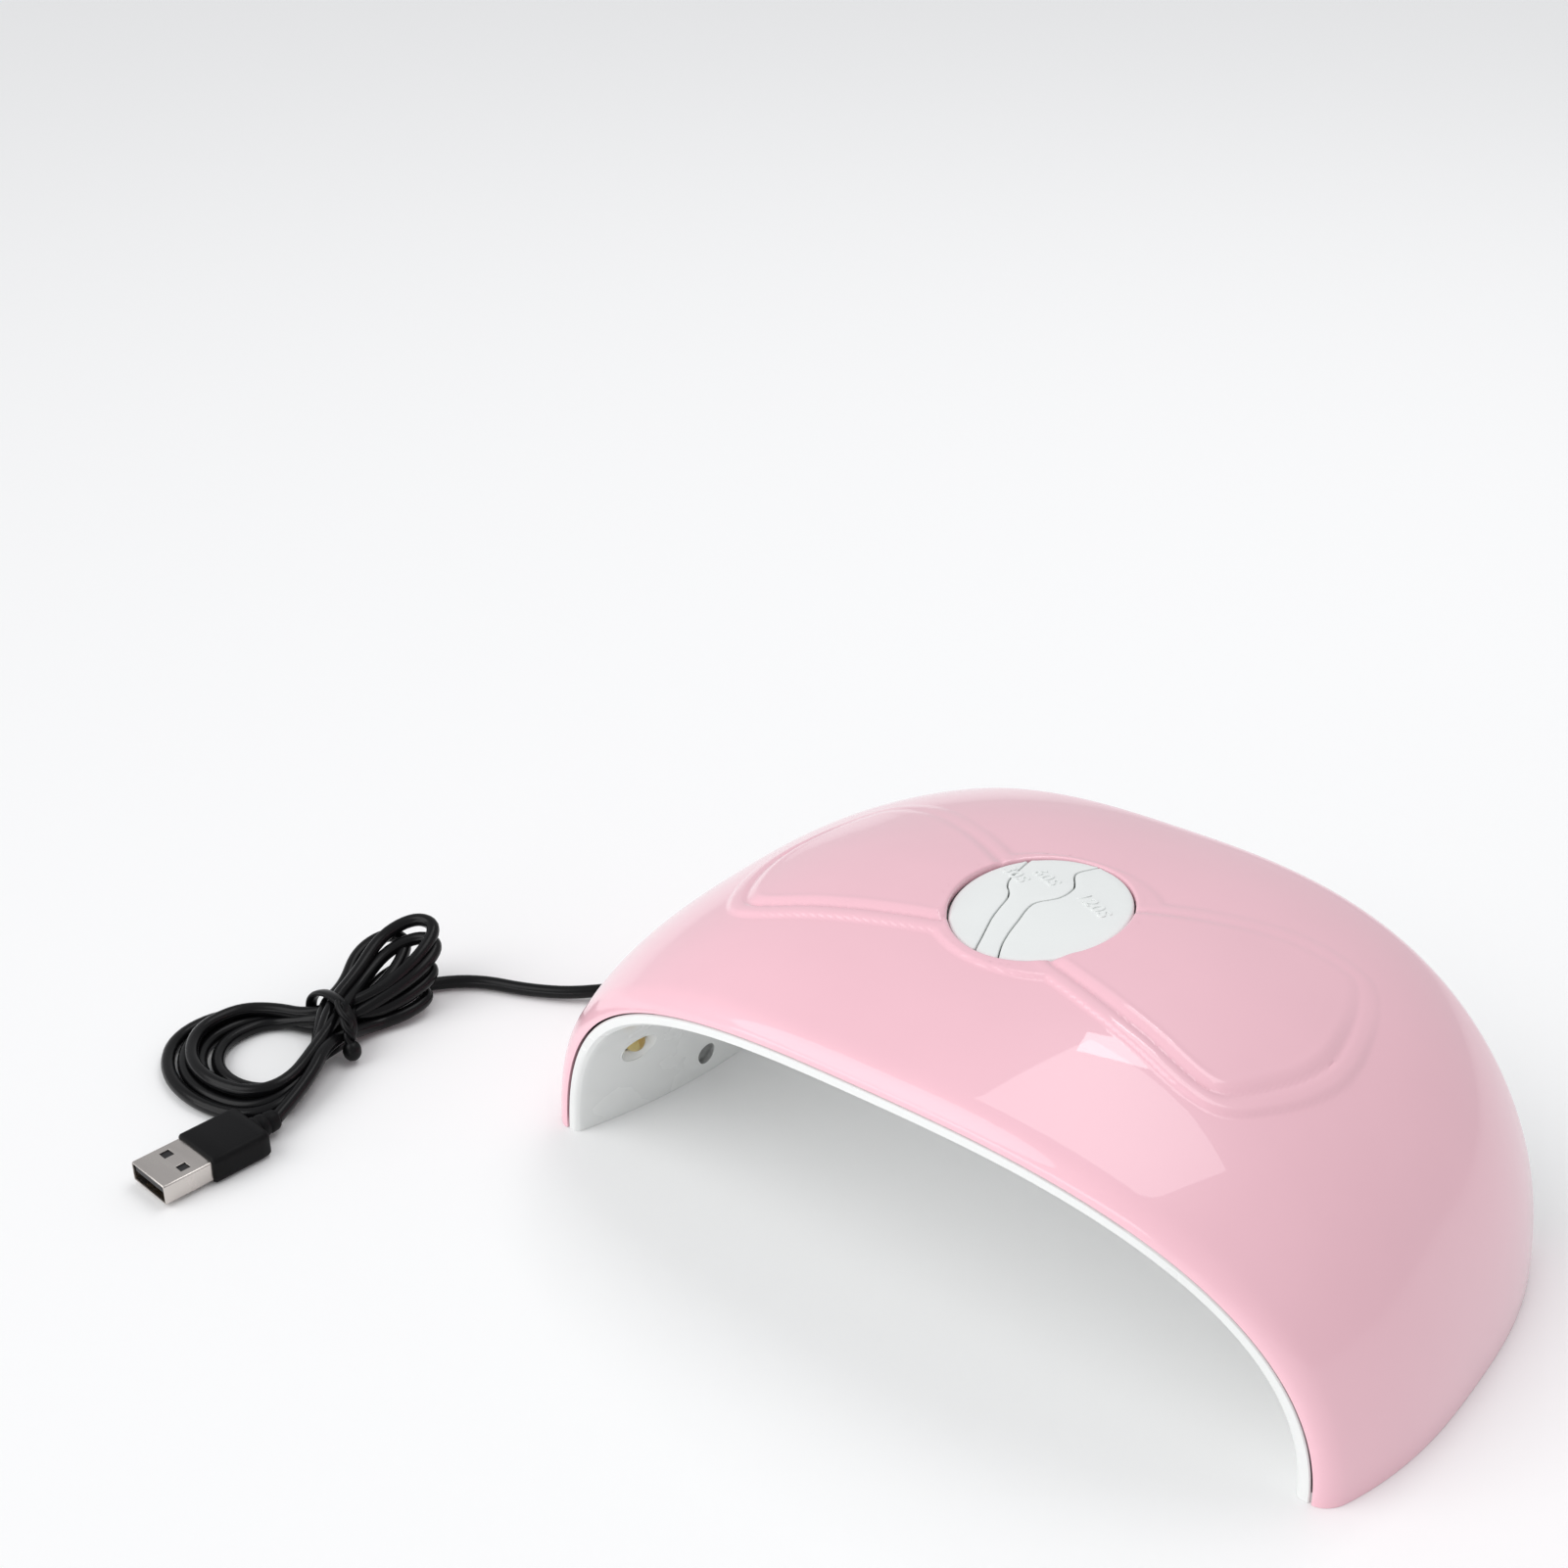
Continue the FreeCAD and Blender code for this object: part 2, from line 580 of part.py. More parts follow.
def make_plug():
    """Overmould, shell, tongue and contacts, all pointing along -Y from the tail."""
    zc = PLUG_H / 2.0
    front = -(PLUG_STUB + PLUG_BODY)
    block = box(-PLUG_W / 2.0, PLUG_W / 2.0, front, -PLUG_STUB, 0.0, PLUG_H)
    sides = [e for e in block.Edges if abs(e.tangentAt(e.FirstParameter).y) > 0.9]
    block = block.makeFillet(1.6, sides)
    stub = Part.makeCone(2.3, 2.9, PLUG_STUB + 1.0, V(0, 0, zc), V(0, -1, 0))
    tunnel = box(-SHELL_W / 2.0, SHELL_W / 2.0, front - 1.0, front + 7.0, zc - SHELL_H / 2.0, zc + SHELL_H / 2.0)
    over = block.fuse(stub).cut(tunnel)
    tip = front - SHELL_OUT
    half = SHELL_W / 2.0
    outer = box(-half, half, tip, front + 7.0, zc - SHELL_H / 2.0, zc + SHELL_H / 2.0)
    wall = SHELL_WALL
    hollow = box(-half + wall, half - wall, tip - 1.0, front + 6.0, zc - SHELL_H / 2.0 + wall,
                 zc + SHELL_H / 2.0 - wall)
    shell = outer.cut(hollow)
    for x in (-3.0, 3.0):
        shell = shell.cut(box(x - 1.1, x + 1.1, tip + 5.2, tip + 7.4, -1.0, 9.0))
    tongue = box(-half + 0.8, half - 0.8, tip + 0.4, front + 5.6, zc + 0.1, zc + SHELL_H / 2.0 - wall - 0.02)
    contacts = [box(x - 0.5, x + 0.5, tip + 1.4, front + 4.0, zc - 0.2, zc + 0.1) for x in (-3.5, -1.0, 1.0, 3.5)]
    return [plug_place(s) for s in (over, shell, tongue, group(contacts))]


def main():
    os.makedirs("parts", exist_ok=True)
    angles = arch_angles(85)
    depths = depth_samples()
    save("top_shell", make_cover(angles, depths))
    save("inner_shell", make_vault(angles[::2], depths))
    for name, key in zip(("key_30", "key_60", "key_120"), make_plate()):
        save(name, key)
    switches, plungers = make_switches()
    save("switch_bodies", switches)
    for name, plunger in zip(("plunger_30", "plunger_60", "plunger_120"), plungers):
        save(name, plunger)
    save("key_carrier", make_carrier())
    save("control_board", make_control_board())
    save("controller_chip", box(-10.3, -3.3, -14.5, -9.5, BOARD_Z + BOARD_THICK, BOARD_Z + BOARD_THICK + 1.5))
    save("board_parts", make_board_parts())
    save("board_screws", group([board_screw(sx * POST_X, sy * POST_Y) for sx in (-1, 1) for sy in (-1, 1)]))
    plates, bodies, lenses = make_leds()
    for where, shapes in plates.items():
        save("led_board_" + where, group(shapes))
    save("led_packages", group(bodies))
    save("led_lenses", group(lenses))
    save("hookup_wire_red", make_hookup(-2.0))
    save("hookup_wire_black", make_hookup(2.0))
    save("housing_screws", group([housing_screw(s, y) for s in (-1, 1) for y in SCREW_YS]))
    save("strain_relief", make_strain_relief())
    inner_lead = [(-87.0, NOTCH_Y, CABLE_Z + 0.2), (-84.5, NOTCH_Y + 0.4, 14.0), (-81.5, NOTCH_Y + 0.2, 28.0),
                  (-72.0, NOTCH_Y, 39.5), (-58.0, NOTCH_Y, 50.2), (-43.0, NOTCH_Y, 56.6), (-31.4, NOTCH_Y, 56.8)]
    save("inner_lead", tube_route(inner_lead, CABLE_D / 2.0, report="inner lead"))
    lead = tube_route(LEAD_ROUTE, CABLE_D / 2.0, report="lead")
    tail = tube_route(TAIL_ROUTE, CABLE_D / 2.0, report="tail")
    save("power_cable", group([lead, tail]))
    save("cable_hank", make_hank())
    save("cable_tie", make_tie())
    for name, shape in zip(("plug_overmold", "plug_shell", "plug_tongue", "plug_contacts"), make_plug()):
        save(name, shape)


main()
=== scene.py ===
import json
import math

import bmesh
import bpy
import numpy as np
from mathutils import Matrix, Vector
from mathutils.geometry import delaunay_2d_cdt


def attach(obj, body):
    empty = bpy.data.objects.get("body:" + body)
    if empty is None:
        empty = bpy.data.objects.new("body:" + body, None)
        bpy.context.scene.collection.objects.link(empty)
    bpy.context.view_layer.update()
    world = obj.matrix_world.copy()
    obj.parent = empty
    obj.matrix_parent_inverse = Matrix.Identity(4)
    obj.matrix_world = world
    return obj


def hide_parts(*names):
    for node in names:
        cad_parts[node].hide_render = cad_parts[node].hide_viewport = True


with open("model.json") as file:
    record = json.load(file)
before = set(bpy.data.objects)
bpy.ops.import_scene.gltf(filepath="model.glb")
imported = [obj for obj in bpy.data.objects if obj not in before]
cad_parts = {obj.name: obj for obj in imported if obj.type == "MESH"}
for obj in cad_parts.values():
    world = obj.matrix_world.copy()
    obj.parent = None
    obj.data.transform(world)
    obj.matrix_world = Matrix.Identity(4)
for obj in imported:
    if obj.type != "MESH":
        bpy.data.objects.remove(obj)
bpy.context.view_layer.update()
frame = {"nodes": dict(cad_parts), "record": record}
MM = 0.001

# All sizes are in millimetres. Cover and vault, close to those in the part's source
HALF_SPAN_EDGE, SPAN_SWELL = 84.87, 10.13
HEIGHT_EDGE, HEIGHT_SWELL = 54.52, 9.66
HALF_DEPTH_FOOT, DEPTH_FLARE = 44.27, 12.64
ARCH_N, ARCH_M, SWELL_POWER = 2.79, 1.97, 2.64
ROLL_START = 0.915
RIM_SIDE, RIM_TOP = 3.2, 3.1
VAULT_BULGE_SIDE, VAULT_BULGE_TOP = 7.8, 3.0
VAULT_WALL, RIM_WALL = 1.8, 2.5
RIM_ROUND = 0.55            # rounding of the vault's rim towards the tunnel
SOLE_THICK = 2.0
SOLE_OUTER_INSET, SOLE_INNER_INSET = 1.45, 1.2
COVER_SKIN, COVER_LIP_STEP = 1.25, 0.35
RELIEF_FLOOR = 35.0         # the bow stays above this height
TOP_FLOOR = 40.0            # the cover round the keys is above this height

# Keys and the ring round them
PLATE_X, PLATE_Y = 0.3, -0.5
PLATE_RX, PLATE_RY = 16.2, 20.2
PLATE_TOP, PLATE_THICK, PLATE_DOME_R = 64.5, 2.05, 320.0
KEY_GAP, SLIT = 0.3, 0.3
PLATE_EDGE_ROUND, SLIT_EDGE_ROUND = 0.75, 0.22
COLLAR_SHARE = 1.10         # where the rings round the keys meet the cover's grid, as a share of the plate
COLLAR_SEARCH = 1.7         # the grid's inner border is looked for within this share
COLLAR_ROLL, COLLAR_WALL = 0.55, (1.1, 1.7)

# Notch, screws, LEDs, cable and plug
NOTCH_Y, NOTCH_W, NOTCH_H, NOTCH_CORNER = 5.0, 15.0, 8.6, 3.0
SCREW_Z, SCREW_YS = 5.2, (-11.4, 25.0)
POCKET_R, POCKET_DEPTH, SCREW_HOLE_R = 2.5, 7.0, 1.4
LED_HOLE_R, DIMPLE_R, DIMPLE_DEPTH = 2.9, 4.3, 1.85
SIDE_LEDS = ((-33.0, 18.5), (-12.0, 21.0), (12.0, 21.0), (33.0, 18.5))
TOP_LEDS = ((-22.0, -17.0), (22.0, -17.0), (-22.0, 17.0), (22.0, 17.0))
CABLE_D = 3.0
PLUG_SPIN, PLUG_TAIL = -6.0, (-131.2, -82.5)
PLUG_W, PLUG_H, PLUG_BODY, PLUG_STUB = 13.6, 6.2, 13.5, 5.5
SHELL_W, SHELL_H, SHELL_OUT, SHELL_WALL = 12.0, 4.5, 11.0, 0.35

SLIT_LEFT = [(-11.6, 22.0), (-11.4, 15.5), (-10.9, 10.5), (-10.5, 7.2), (-10.0, 4.2), (-9.0, 2.0),
             (-7.5, 0.2), (-6.4, -2.2), (-5.7, -5.9), (-4.9, -9.6), (-3.8, -13.1), (-2.5, -17.1),
             (-0.8, -23.0)]
SLIT_RIGHT = [(2.0, 22.5), (0.2, 18.2), (-0.8, 16.1), (-1.2, 14.4), (-0.7, 12.8), (0.6, 10.8),
              (1.5, 8.9), (1.7, 6.2), (1.2, 3.8), (0.2, 2.1), (-0.8, 0.6), (-1.4, -1.2), (-1.2, -3.9),
              (-0.4, -7.6), (0.4, -11.8), (1.5, -15.9), (3.0, -19.5), (5.2, -24.0)]
BOW = [(8.0, -19.0), (12.6, -20.6), (19.0, -22.4), (26.0, -24.3), (34.0, -26.4), (47.0, -29.4), (55.0, -26.6),
       (61.4, -15.0), (64.2, -3.0), (63.2, 9.0), (59.5, 21.5), (53.6, 28.0), (40.7, 27.1),
       (25.8, 20.2), (13.5, 12.6), (8.0, 9.0)]
RING_X, RING_Y, RING_R = 2.0, -1.3, 22.9


# ---------------------------------------------------------------- helpers

def smooth(t):
    """Smooth step from 0 to 1."""
    t = np.clip(t, 0.0, 1.0)
    return t * t * (3.0 - 2.0 * t)


def spline(points, steps=8):
    """Catmull-Rom curve through plan points."""
    p = [np.array(q, float) for q in points]
    p = [2 * p[0] - p[1]] + p + [2 * p[-1] - p[-2]]
    out = []
    for a, b, c, d in zip(p, p[1:], p[2:], p[3:]):
        for i in range(steps):
            t = i / steps
            out.append(0.5 * (2 * b + (c - a) * t + (2 * a - 5 * b + 4 * c - d) * t * t
                              + (3 * b - a - 3 * c + d) * t ** 3))
    out.append(p[-2])
    return np.array(out)


def mesh_object(name, verts, faces, material, body="housing", smooth_shade=True):
    """An object made of points in millimetres, with faces turned outwards."""
    mesh = bpy.data.meshes.new(name)
    mesh.from_pydata([tuple(float(c) * MM for c in v) for v in verts], [], [tuple(f) for f in faces])
    mesh.validate()
    obj = bpy.data.objects.new(name, mesh)
    bpy.context.collection.objects.link(obj)
    tidy_normals(obj)
    if smooth_shade:
        mesh.shade_smooth()
    mesh.materials.append(material)
    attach(obj, body)
    return obj


def tidy_normals(obj):
    bm = bmesh.new()
    bm.from_mesh(obj.data)
    bmesh.ops.recalc_face_normals(bm, faces=bm.faces)
    bm.to_mesh(obj.data)
    bm.free()


def bake(obj):
    """Applies an object's modifiers to its mesh."""
    graph = bpy.context.evaluated_depsgraph_get()
    mesh = bpy.data.meshes.new_from_object(obj.evaluated_get(graph))
    obj.modifiers.clear()
    old = obj.data
    obj.data = mesh
    bpy.data.meshes.remove(old)


def bevel(obj, width, segments, angle):
    """Rounds the edges that are sharper than the angle."""
    mod = obj.modifiers.new("edges", "BEVEL")
    mod.width = width * MM
    mod.segments = segments
    mod.limit_method = "ANGLE"
    mod.angle_limit = math.radians(angle)
    bake(obj)


def sharp_by_angle(obj, degrees=40.0):
    obj.data.set_sharp_from_angle(angle=math.radians(degrees))


def ring_faces(rings, count):
    """Quads between closed rings of points that follow one another."""
    faces = []
    for i in range(rings - 1):
        for k in range(count):
            n = (k + 1) % count
            faces.append((i * count + k, i * count + n, (i + 1) * count + n, (i + 1) * count + k))
    return faces


def end_faces(rings, count):
    """The two faces that close a run of rings."""
    return [tuple(range(count)), tuple((rings - 1) * count + k for k in range(count))]


def lathe(profile, centre, axis, steps=40):
    """Verts and faces of a profile of (radius, distance) pairs turned about an axis."""
    turn = Vector((0, 0, 1)).rotation_difference(Vector(axis))
    verts = []
    for r, d in profile:
        for i in range(steps):
            a = 2 * math.pi * i / steps
            verts.append(Vector(centre) + turn @ Vector((r * math.cos(a), r * math.sin(a), d)))
    return verts, ring_faces(len(profile), steps)


def joined(parts):
    """One list of verts and faces from several."""
    verts = []
    faces = []
    for v, f in parts:
        base = len(verts)
        verts.extend(v)
        faces.extend(tuple(i + base for i in face) for face in f)
    return verts, faces


# ---------------------------------------------------------------- shape formulas

def swell(v):
    """How far the cover bulges at a share of its depth: 1 in the middle, 0 at the rims."""
    v = np.abs(v)
    k = np.clip((v - ROLL_START) / (1.0 - ROLL_START), 0.0, 1.0)
    return 0.25 * np.sqrt(1.0 - k * k) + 0.75 * (1.0 - v ** SWELL_POWER)


def arch_xz(half_span, height, angle):
    """Superellipse arch."""
    c, s = np.cos(angle), np.maximum(np.sin(angle), 0.0)
    return half_span * np.sign(c) * np.abs(c) ** (2.0 / ARCH_N), height * s ** (2.0 / ARCH_M)


def cover_points(v, angle, inset=0.0):
    """Points of the cover's plain outer surface."""
    w = swell(v)
    height = HEIGHT_EDGE + HEIGHT_SWELL * w - inset
    x, z = arch_xz(HALF_SPAN_EDGE + SPAN_SWELL * w - inset, height, angle)
    return np.stack([x, v * (HALF_DEPTH_FOOT + DEPTH_FLARE * (z / height) ** 2), z], -1)


def vault_points(v, angle, outset=0.0):
    """Points of the vault's inner surface, or of one that lies outside it."""
    bulge = 1.0 - v * v
    height = HEIGHT_EDGE - RIM_TOP - VAULT_BULGE_TOP * bulge + outset
    x, z = arch_xz(HALF_SPAN_EDGE - RIM_SIDE - VAULT_BULGE_SIDE * bulge + outset, height, angle)
    return np.stack([x, v * (HALF_DEPTH_FOOT + DEPTH_FLARE * (z / height) ** 2), z], -1)


def crown_height(x, y):
    """Height of the plain cover over a plan point near the crown."""
    v = y / (HALF_DEPTH_FOOT + DEPTH_FLARE)
    for _ in range(6):
        w = swell(v)
        share = np.clip(1.0 - np.abs(x / (HALF_SPAN_EDGE + SPAN_SWELL * w)) ** ARCH_N, 0, 1) ** (1.0 / ARCH_M)
        v = y / (HALF_DEPTH_FOOT + DEPTH_FLARE * share ** 2)
    return (HEIGHT_EDGE + HEIGHT_SWELL * swell(v)) * share


def inside_distance(x, y, loop):
    """Distance to a closed plan outline, positive inside it."""
    best = np.full(x.shape, 1e9)
    inside = np.zeros(x.shape, bool)
    for (ax, ay), (bx, by) in zip(loop, np.roll(loop, -1, axis=0)):
        dx, dy = bx - ax, by - ay
        t = np.clip(((x - ax) * dx + (y - ay) * dy) / (dx * dx + dy * dy), 0, 1)
        best = np.minimum(best, np.hypot(x - ax - t * dx, y - ay - t * dy))
        if dy:
            inside ^= ((ay > y) != (by > y)) & (x < ax + (y - ay) * dx / dy)
    return np.where(inside, best, -best)


BOW_LOOP = spline(BOW, 5)


def relief(x, y, z):
    """The bow: a low terrace behind a crisp step, then a soft pad, fading towards the back."""
    bow = inside_distance(np.abs(x), y, BOW_LOOP)
    ring = RING_R - np.hypot(x - RING_X, y - RING_Y)
    front = 1.0 - 0.80 * smooth((y + 2.0) / 26.0)
    step = 0.70 * smooth(np.maximum(bow, ring) / 0.7)
    crown = 0.10 * np.exp(-((bow - 2.0) / 0.9) ** 2) * (bow > 0)
    groove = -0.40 * np.exp(-((bow - 3.8) / 0.45) ** 2) * (bow > 0)
    pad = 0.50 * smooth((bow - 3.8) / 2.6)
    ridge = 0.12 * np.exp(-((bow - 5.9) / 0.8) ** 2) * (bow > 0)
    return np.where(z > RELIEF_FLOOR, front * (step + crown + groove + pad + ridge), 0.0)


def arch_angles(weights):
    """Angles spaced along the arch by a spacing that depends on |x|."""
    fine = np.linspace(0, math.pi, 8001)
    x, z = arch_xz(90.0, 60.0, fine)
    length = np.hypot(np.diff(x), np.diff(z))
    middle = np.abs((x[1:] + x[:-1]) / 2)
    spacing = np.full(middle.shape, weights[-1][1])
    for limit, size in reversed(weights):
        spacing[middle < limit] = size
    run = np.concatenate([[0], np.cumsum(length / spacing)])
    count = int(round(run[-1] / 2)) * 2
    return np.interp(np.linspace(0, run[-1], count + 1), run, fine)


def depth_samples(bands, roll_steps):
    """Depth stations; bands are (from y, to y, spacing) at the crown, with the rolls at both ends added."""
    depth = HALF_DEPTH_FOOT + DEPTH_FLARE
    flat = []
    for low, high, size in bands:
        count = max(1, int(round((high - low) / size)))
        flat.extend(low + (high - low) * i / count for i in range(count))
    flat.append(bands[-1][1])
    v = np.array(flat) / depth
    roll = ROLL_START + (1 - ROLL_START) * np.sin(np.linspace(0, math.pi / 2, roll_steps + 1))[1:]
    return np.concatenate([-roll[::-1], v, roll])


# ---------------------------------------------------------------- materials

def nodes_of(name):
    mat = bpy.data.materials.new(name)
    mat.use_nodes = True
    tree = mat.node_tree
    return mat, tree, tree.nodes["Principled BSDF"]


def add(tree, kind, **values):
    """A node with its properties or input values set."""
    node = tree.nodes.new(kind)
    for key, value in values.items():
        if hasattr(node, key):
            setattr(node, key, value)
        else:
            node.inputs[key.replace("_", " ")].default_value = value
    return node


def plastic(name, colour, rough, rough_spread=0.05, tint=0.04, grain=900.0, bump=0.05, coat=0.0, coat_rough=0.05,
            spec=0.5, metal=0.0, wave=0.0, streak=None):
    """Moulded material: slight colour mottling, uneven roughness, fine grain and a slow surface wave."""
    mat, tree, shader = nodes_of(name)
    coords = add(tree, "ShaderNodeTexCoord")
    place = add(tree, "ShaderNodeMapping")
    place.inputs["Scale"].default_value = streak or (1.0, 1.0, 1.0)
    tree.links.new(coords.outputs["Object"], place.inputs["Vector"])
    mottle = add(tree, "ShaderNodeTexNoise", Scale=38.0, Detail=4.0, Roughness=0.55)
    fine = add(tree, "ShaderNodeTexNoise", Scale=grain, Detail=3.0, Roughness=0.6)
    slow = add(tree, "ShaderNodeTexNoise", Scale=26.0, Detail=1.0, Roughness=0.4)
    for node in (mottle, fine, slow):
        tree.links.new(place.outputs["Vector"], node.inputs["Vector"])
    ramp = add(tree, "ShaderNodeValToRGB")
    dark = [c * (1 - tint) for c in colour]
    light = [min(1.0, c * (1 + tint)) for c in colour]
    ramp.color_ramp.elements[0].position = 0.3
    ramp.color_ramp.elements[0].color = (*dark, 1)
    ramp.color_ramp.elements[1].position = 0.7
    ramp.color_ramp.elements[1].color = (*light, 1)
    tree.links.new(mottle.outputs["Fac"], ramp.inputs["Fac"])
    tree.links.new(ramp.outputs["Color"], shader.inputs["Base Color"])
    spread = add(tree, "ShaderNodeMapRange")
    spread.inputs["To Min"].default_value = max(0.02, rough - rough_spread)
    spread.inputs["To Max"].default_value = min(1.0, rough + rough_spread)
    tree.links.new(mottle.outputs["Fac"], spread.inputs["Value"])
    tree.links.new(spread.outputs["Result"], shader.inputs["Roughness"])
    first = add(tree, "ShaderNodeBump", Strength=bump)
    first.inputs["Distance"].default_value = 0.0002
    tree.links.new(fine.outputs["Fac"], first.inputs["Height"])
    last = first
    if wave:
        last = add(tree, "ShaderNodeBump", Strength=wave)
        last.inputs["Distance"].default_value = 0.001
        tree.links.new(slow.outputs["Fac"], last.inputs["Height"])
        tree.links.new(first.outputs["Normal"], last.inputs["Normal"])
    tree.links.new(last.outputs["Normal"], shader.inputs["Normal"])
    shader.inputs["Metallic"].default_value = metal
    shader.inputs["Specular IOR Level"].default_value = spec
    shader.inputs["Coat Weight"].default_value = coat
    shader.inputs["Coat Roughness"].default_value = coat_rough
    return mat


PINK = plastic("pink_gloss_abs", (0.88, 0.52, 0.595), 0.34, 0.04, 0.012, 1600.0, 0.02, 0.85, 0.025, 0.35, 0.0, 0.012)
WHITE = plastic("white_gloss_abs", (0.80, 0.81, 0.80), 0.28, 0.05, 0.012, 1500.0, 0.03, 0.25, 0.08, 0.5, 0.0, 0.02)
KEY_WHITE = plastic("white_key_abs", (0.82, 0.84, 0.83), 0.38, 0.05, 0.012, 2200.0, 0.05)
DARK_RUBBER = plastic("black_pvc", (0.004, 0.004, 0.0045), 0.24, 0.06, 0.25, 1300.0, 0.06, 0.0, 0.1, 0.20)
MATTE_BLACK = plastic("black_overmould", (0.006, 0.006, 0.0065), 0.44, 0.06, 0.2, 2600.0, 0.20, spec=0.10)
TIE_BLACK = plastic("black_tie", (0.005, 0.005, 0.0055), 0.32, 0.06, 0.2, 1500.0, 0.10, spec=0.16)
NICKEL = plastic("nickel_plate", (0.62, 0.58, 0.55), 0.26, 0.08, 0.05, 700.0, 0.06, metal=1.0, streak=(1.0, 6.0, 1.0))
TONGUE = plastic("tongue_black", (0.012, 0.012, 0.014), 0.5, 0.05, 0.1)
SLOT_LOOKS = {
    "carrier_plastic": plastic("carrier_white", (0.72, 0.72, 0.70), 0.5),
    "switch_plastic": plastic("switch_black", (0.02, 0.02, 0.02), 0.55),
    "plunger_plastic": plastic("plunger_cream", (0.62, 0.58, 0.50), 0.45),
    "circuit_board": plastic("board_green", (0.012, 0.11, 0.04), 0.38, 0.06, 0.2, 1200.0, 0.15),
    "chip_epoxy": plastic("chip_black", (0.012, 0.012, 0.013), 0.6, 0.05, 0.2, 2500.0, 0.3),
    "component_body": plastic("component_grey", (0.10, 0.10, 0.12), 0.4),
    "led_board_mask": plastic("led_board_white", (0.70, 0.71, 0.68), 0.45, 0.06, 0.05, 1400.0, 0.1),
    "led_body": plastic("led_phosphor", (0.80, 0.50, 0.06), 0.4, 0.06, 0.15, 1800.0, 0.15),
    "wire_red": plastic("wire_red_pvc", (0.42, 0.015, 0.01), 0.35),
    "wire_black": plastic("wire_black_pvc", (0.012, 0.012, 0.012), 0.35),
    "screw_steel": plastic("screw_steel_dark", (0.16, 0.16, 0.17), 0.34, 0.08, 0.1, 900.0, 0.1, metal=1.0),
    "cable_pvc": DARK_RUBBER,
    "contact_gold": plastic("gold_flash", (0.83, 0.55, 0.20), 0.28, 0.06, 0.06, 900.0, 0.05, metal=1.0),
    "tongue_plastic": TONGUE,
    "plug_steel": NICKEL,
    "plug_pvc": MATTE_BLACK,
    "tie_pvc": TIE_BLACK,
    "white_key": KEY_WHITE,
    "white_shell": WHITE,
    "pink_cover": PINK,
}


def lens_material():
    """Clear amber silicone over an LED."""
    mat, tree, shader = nodes_of("led_silicone")
    coords = add(tree, "ShaderNodeTexCoord")
    noise = add(tree, "ShaderNodeTexNoise", Scale=900.0, Detail=2.0)
    tree.links.new(coords.outputs["Object"], noise.inputs["Vector"])
    spread = add(tree, "ShaderNodeMapRange")
    spread.inputs["To Min"].default_value = 0.05
    spread.inputs["To Max"].default_value = 0.14
    tree.links.new(noise.outputs["Fac"], spread.inputs["Value"])
    tree.links.new(spread.outputs["Result"], shader.inputs["Roughness"])
    shader.inputs["Base Color"].default_value = (0.95, 0.78, 0.32, 1)
    shader.inputs["Transmission Weight"].default_value = 0.75
    shader.inputs["IOR"].default_value = 1.41
    return mat


SLOT_LOOKS["led_lens"] = lens_material()


def dress_frame():
    """Gives each CAD node the look of its material slot."""
    slots = {s["node"]: s["material_slot"] for s in frame["record"]["subparts"]}
    for name, node in frame["nodes"].items():
        node.data.materials.clear()
        node.data.materials.append(SLOT_LOOKS[slots[name]])
        node.data.shade_smooth()
        sharp_by_angle(node, 30.0)


# ---------------------------------------------------------------- pink cover

def cover_grid():
    """Grid of cover points, with a last row at each rim that turns in as the front lip."""
    angles = arch_angles([(68, 0.6), (200, 1.5)])
    depths = depth_samples([(-51.8, -33, 1.5), (-33, -12, 0.5), (-12, 6, 0.7), (6, 31, 0.9), (31, 51.8, 1.6)], 9)
    grid = cover_points(depths[:, None], angles[None, :])
    lips = []
    for v, row in ((-1.0, grid[0]), (1.0, grid[-1])):
        edge = cover_points(np.array(v), angles, COVER_LIP_STEP)
        edge[:, 1] = row[:, 1]
        lips.append(edge)
    return np.concatenate([lips[0][None], grid, lips[1][None]])


def plate_reach(x, y):
    """Distance from the middle of the key plate, as a share of its radius."""
    return np.hypot((x - PLATE_X) / PLATE_RX, (y - PLATE_Y) / PLATE_RY)


def plate_bearing(x, y):
    """Bearing about the middle of the key plate, with the plate's oval made round."""
    return math.atan2((y - PLATE_Y) / PLATE_RY, (x - PLATE_X) / PLATE_RX)


def open_border(points, edge_use):
    """The closed run of free edges round the keys, as a list of point numbers."""
    border = {}
    for uses in edge_use.values():
        a, b = uses[0]
        x, y, z = points[a]
        if len(uses) == 1 and plate_reach(x, y) < COLLAR_SEARCH and z > TOP_FLOOR:
            border[b] = a
    start = next(iter(border))
    loop = [start]
    while border[loop[-1]] != start:
        loop.append(border[loop[-1]])
    return loop


def even_bearings(verts, loop):
    """Bearings of the loop's points about the plate, evened out so that they always advance."""
    bearings = np.unwrap([plate_bearing(*verts[i][:2]) for i in loop])
    turn = 2 * math.pi * round((bearings[-1] - bearings[0]) / (2 * math.pi))
    even = bearings[0] + turn * np.arange(len(loop)) / len(loop)
    offset = bearings - even
    for _ in range(4):
        offset = (np.roll(offset, 1) + offset + np.roll(offset, -1)) / 3.0
    return even + offset


def collar_profile(radius):
    """(share of the opening's radius, drop) from the cover in to the opening's wall."""
    profile = [(1.0 + d / radius, 0.0) for d in (1.5, 1.2, 0.9, COLLAR_ROLL)]
    for a in (25, 50, 72, 90):
        t = math.radians(a)
        profile.append((1.0 + COLLAR_ROLL * (1 - math.sin(t)) / radius, -COLLAR_ROLL * (1 - math.cos(t))))
    return profile + [(1.0, -depth) for depth in COLLAR_WALL]


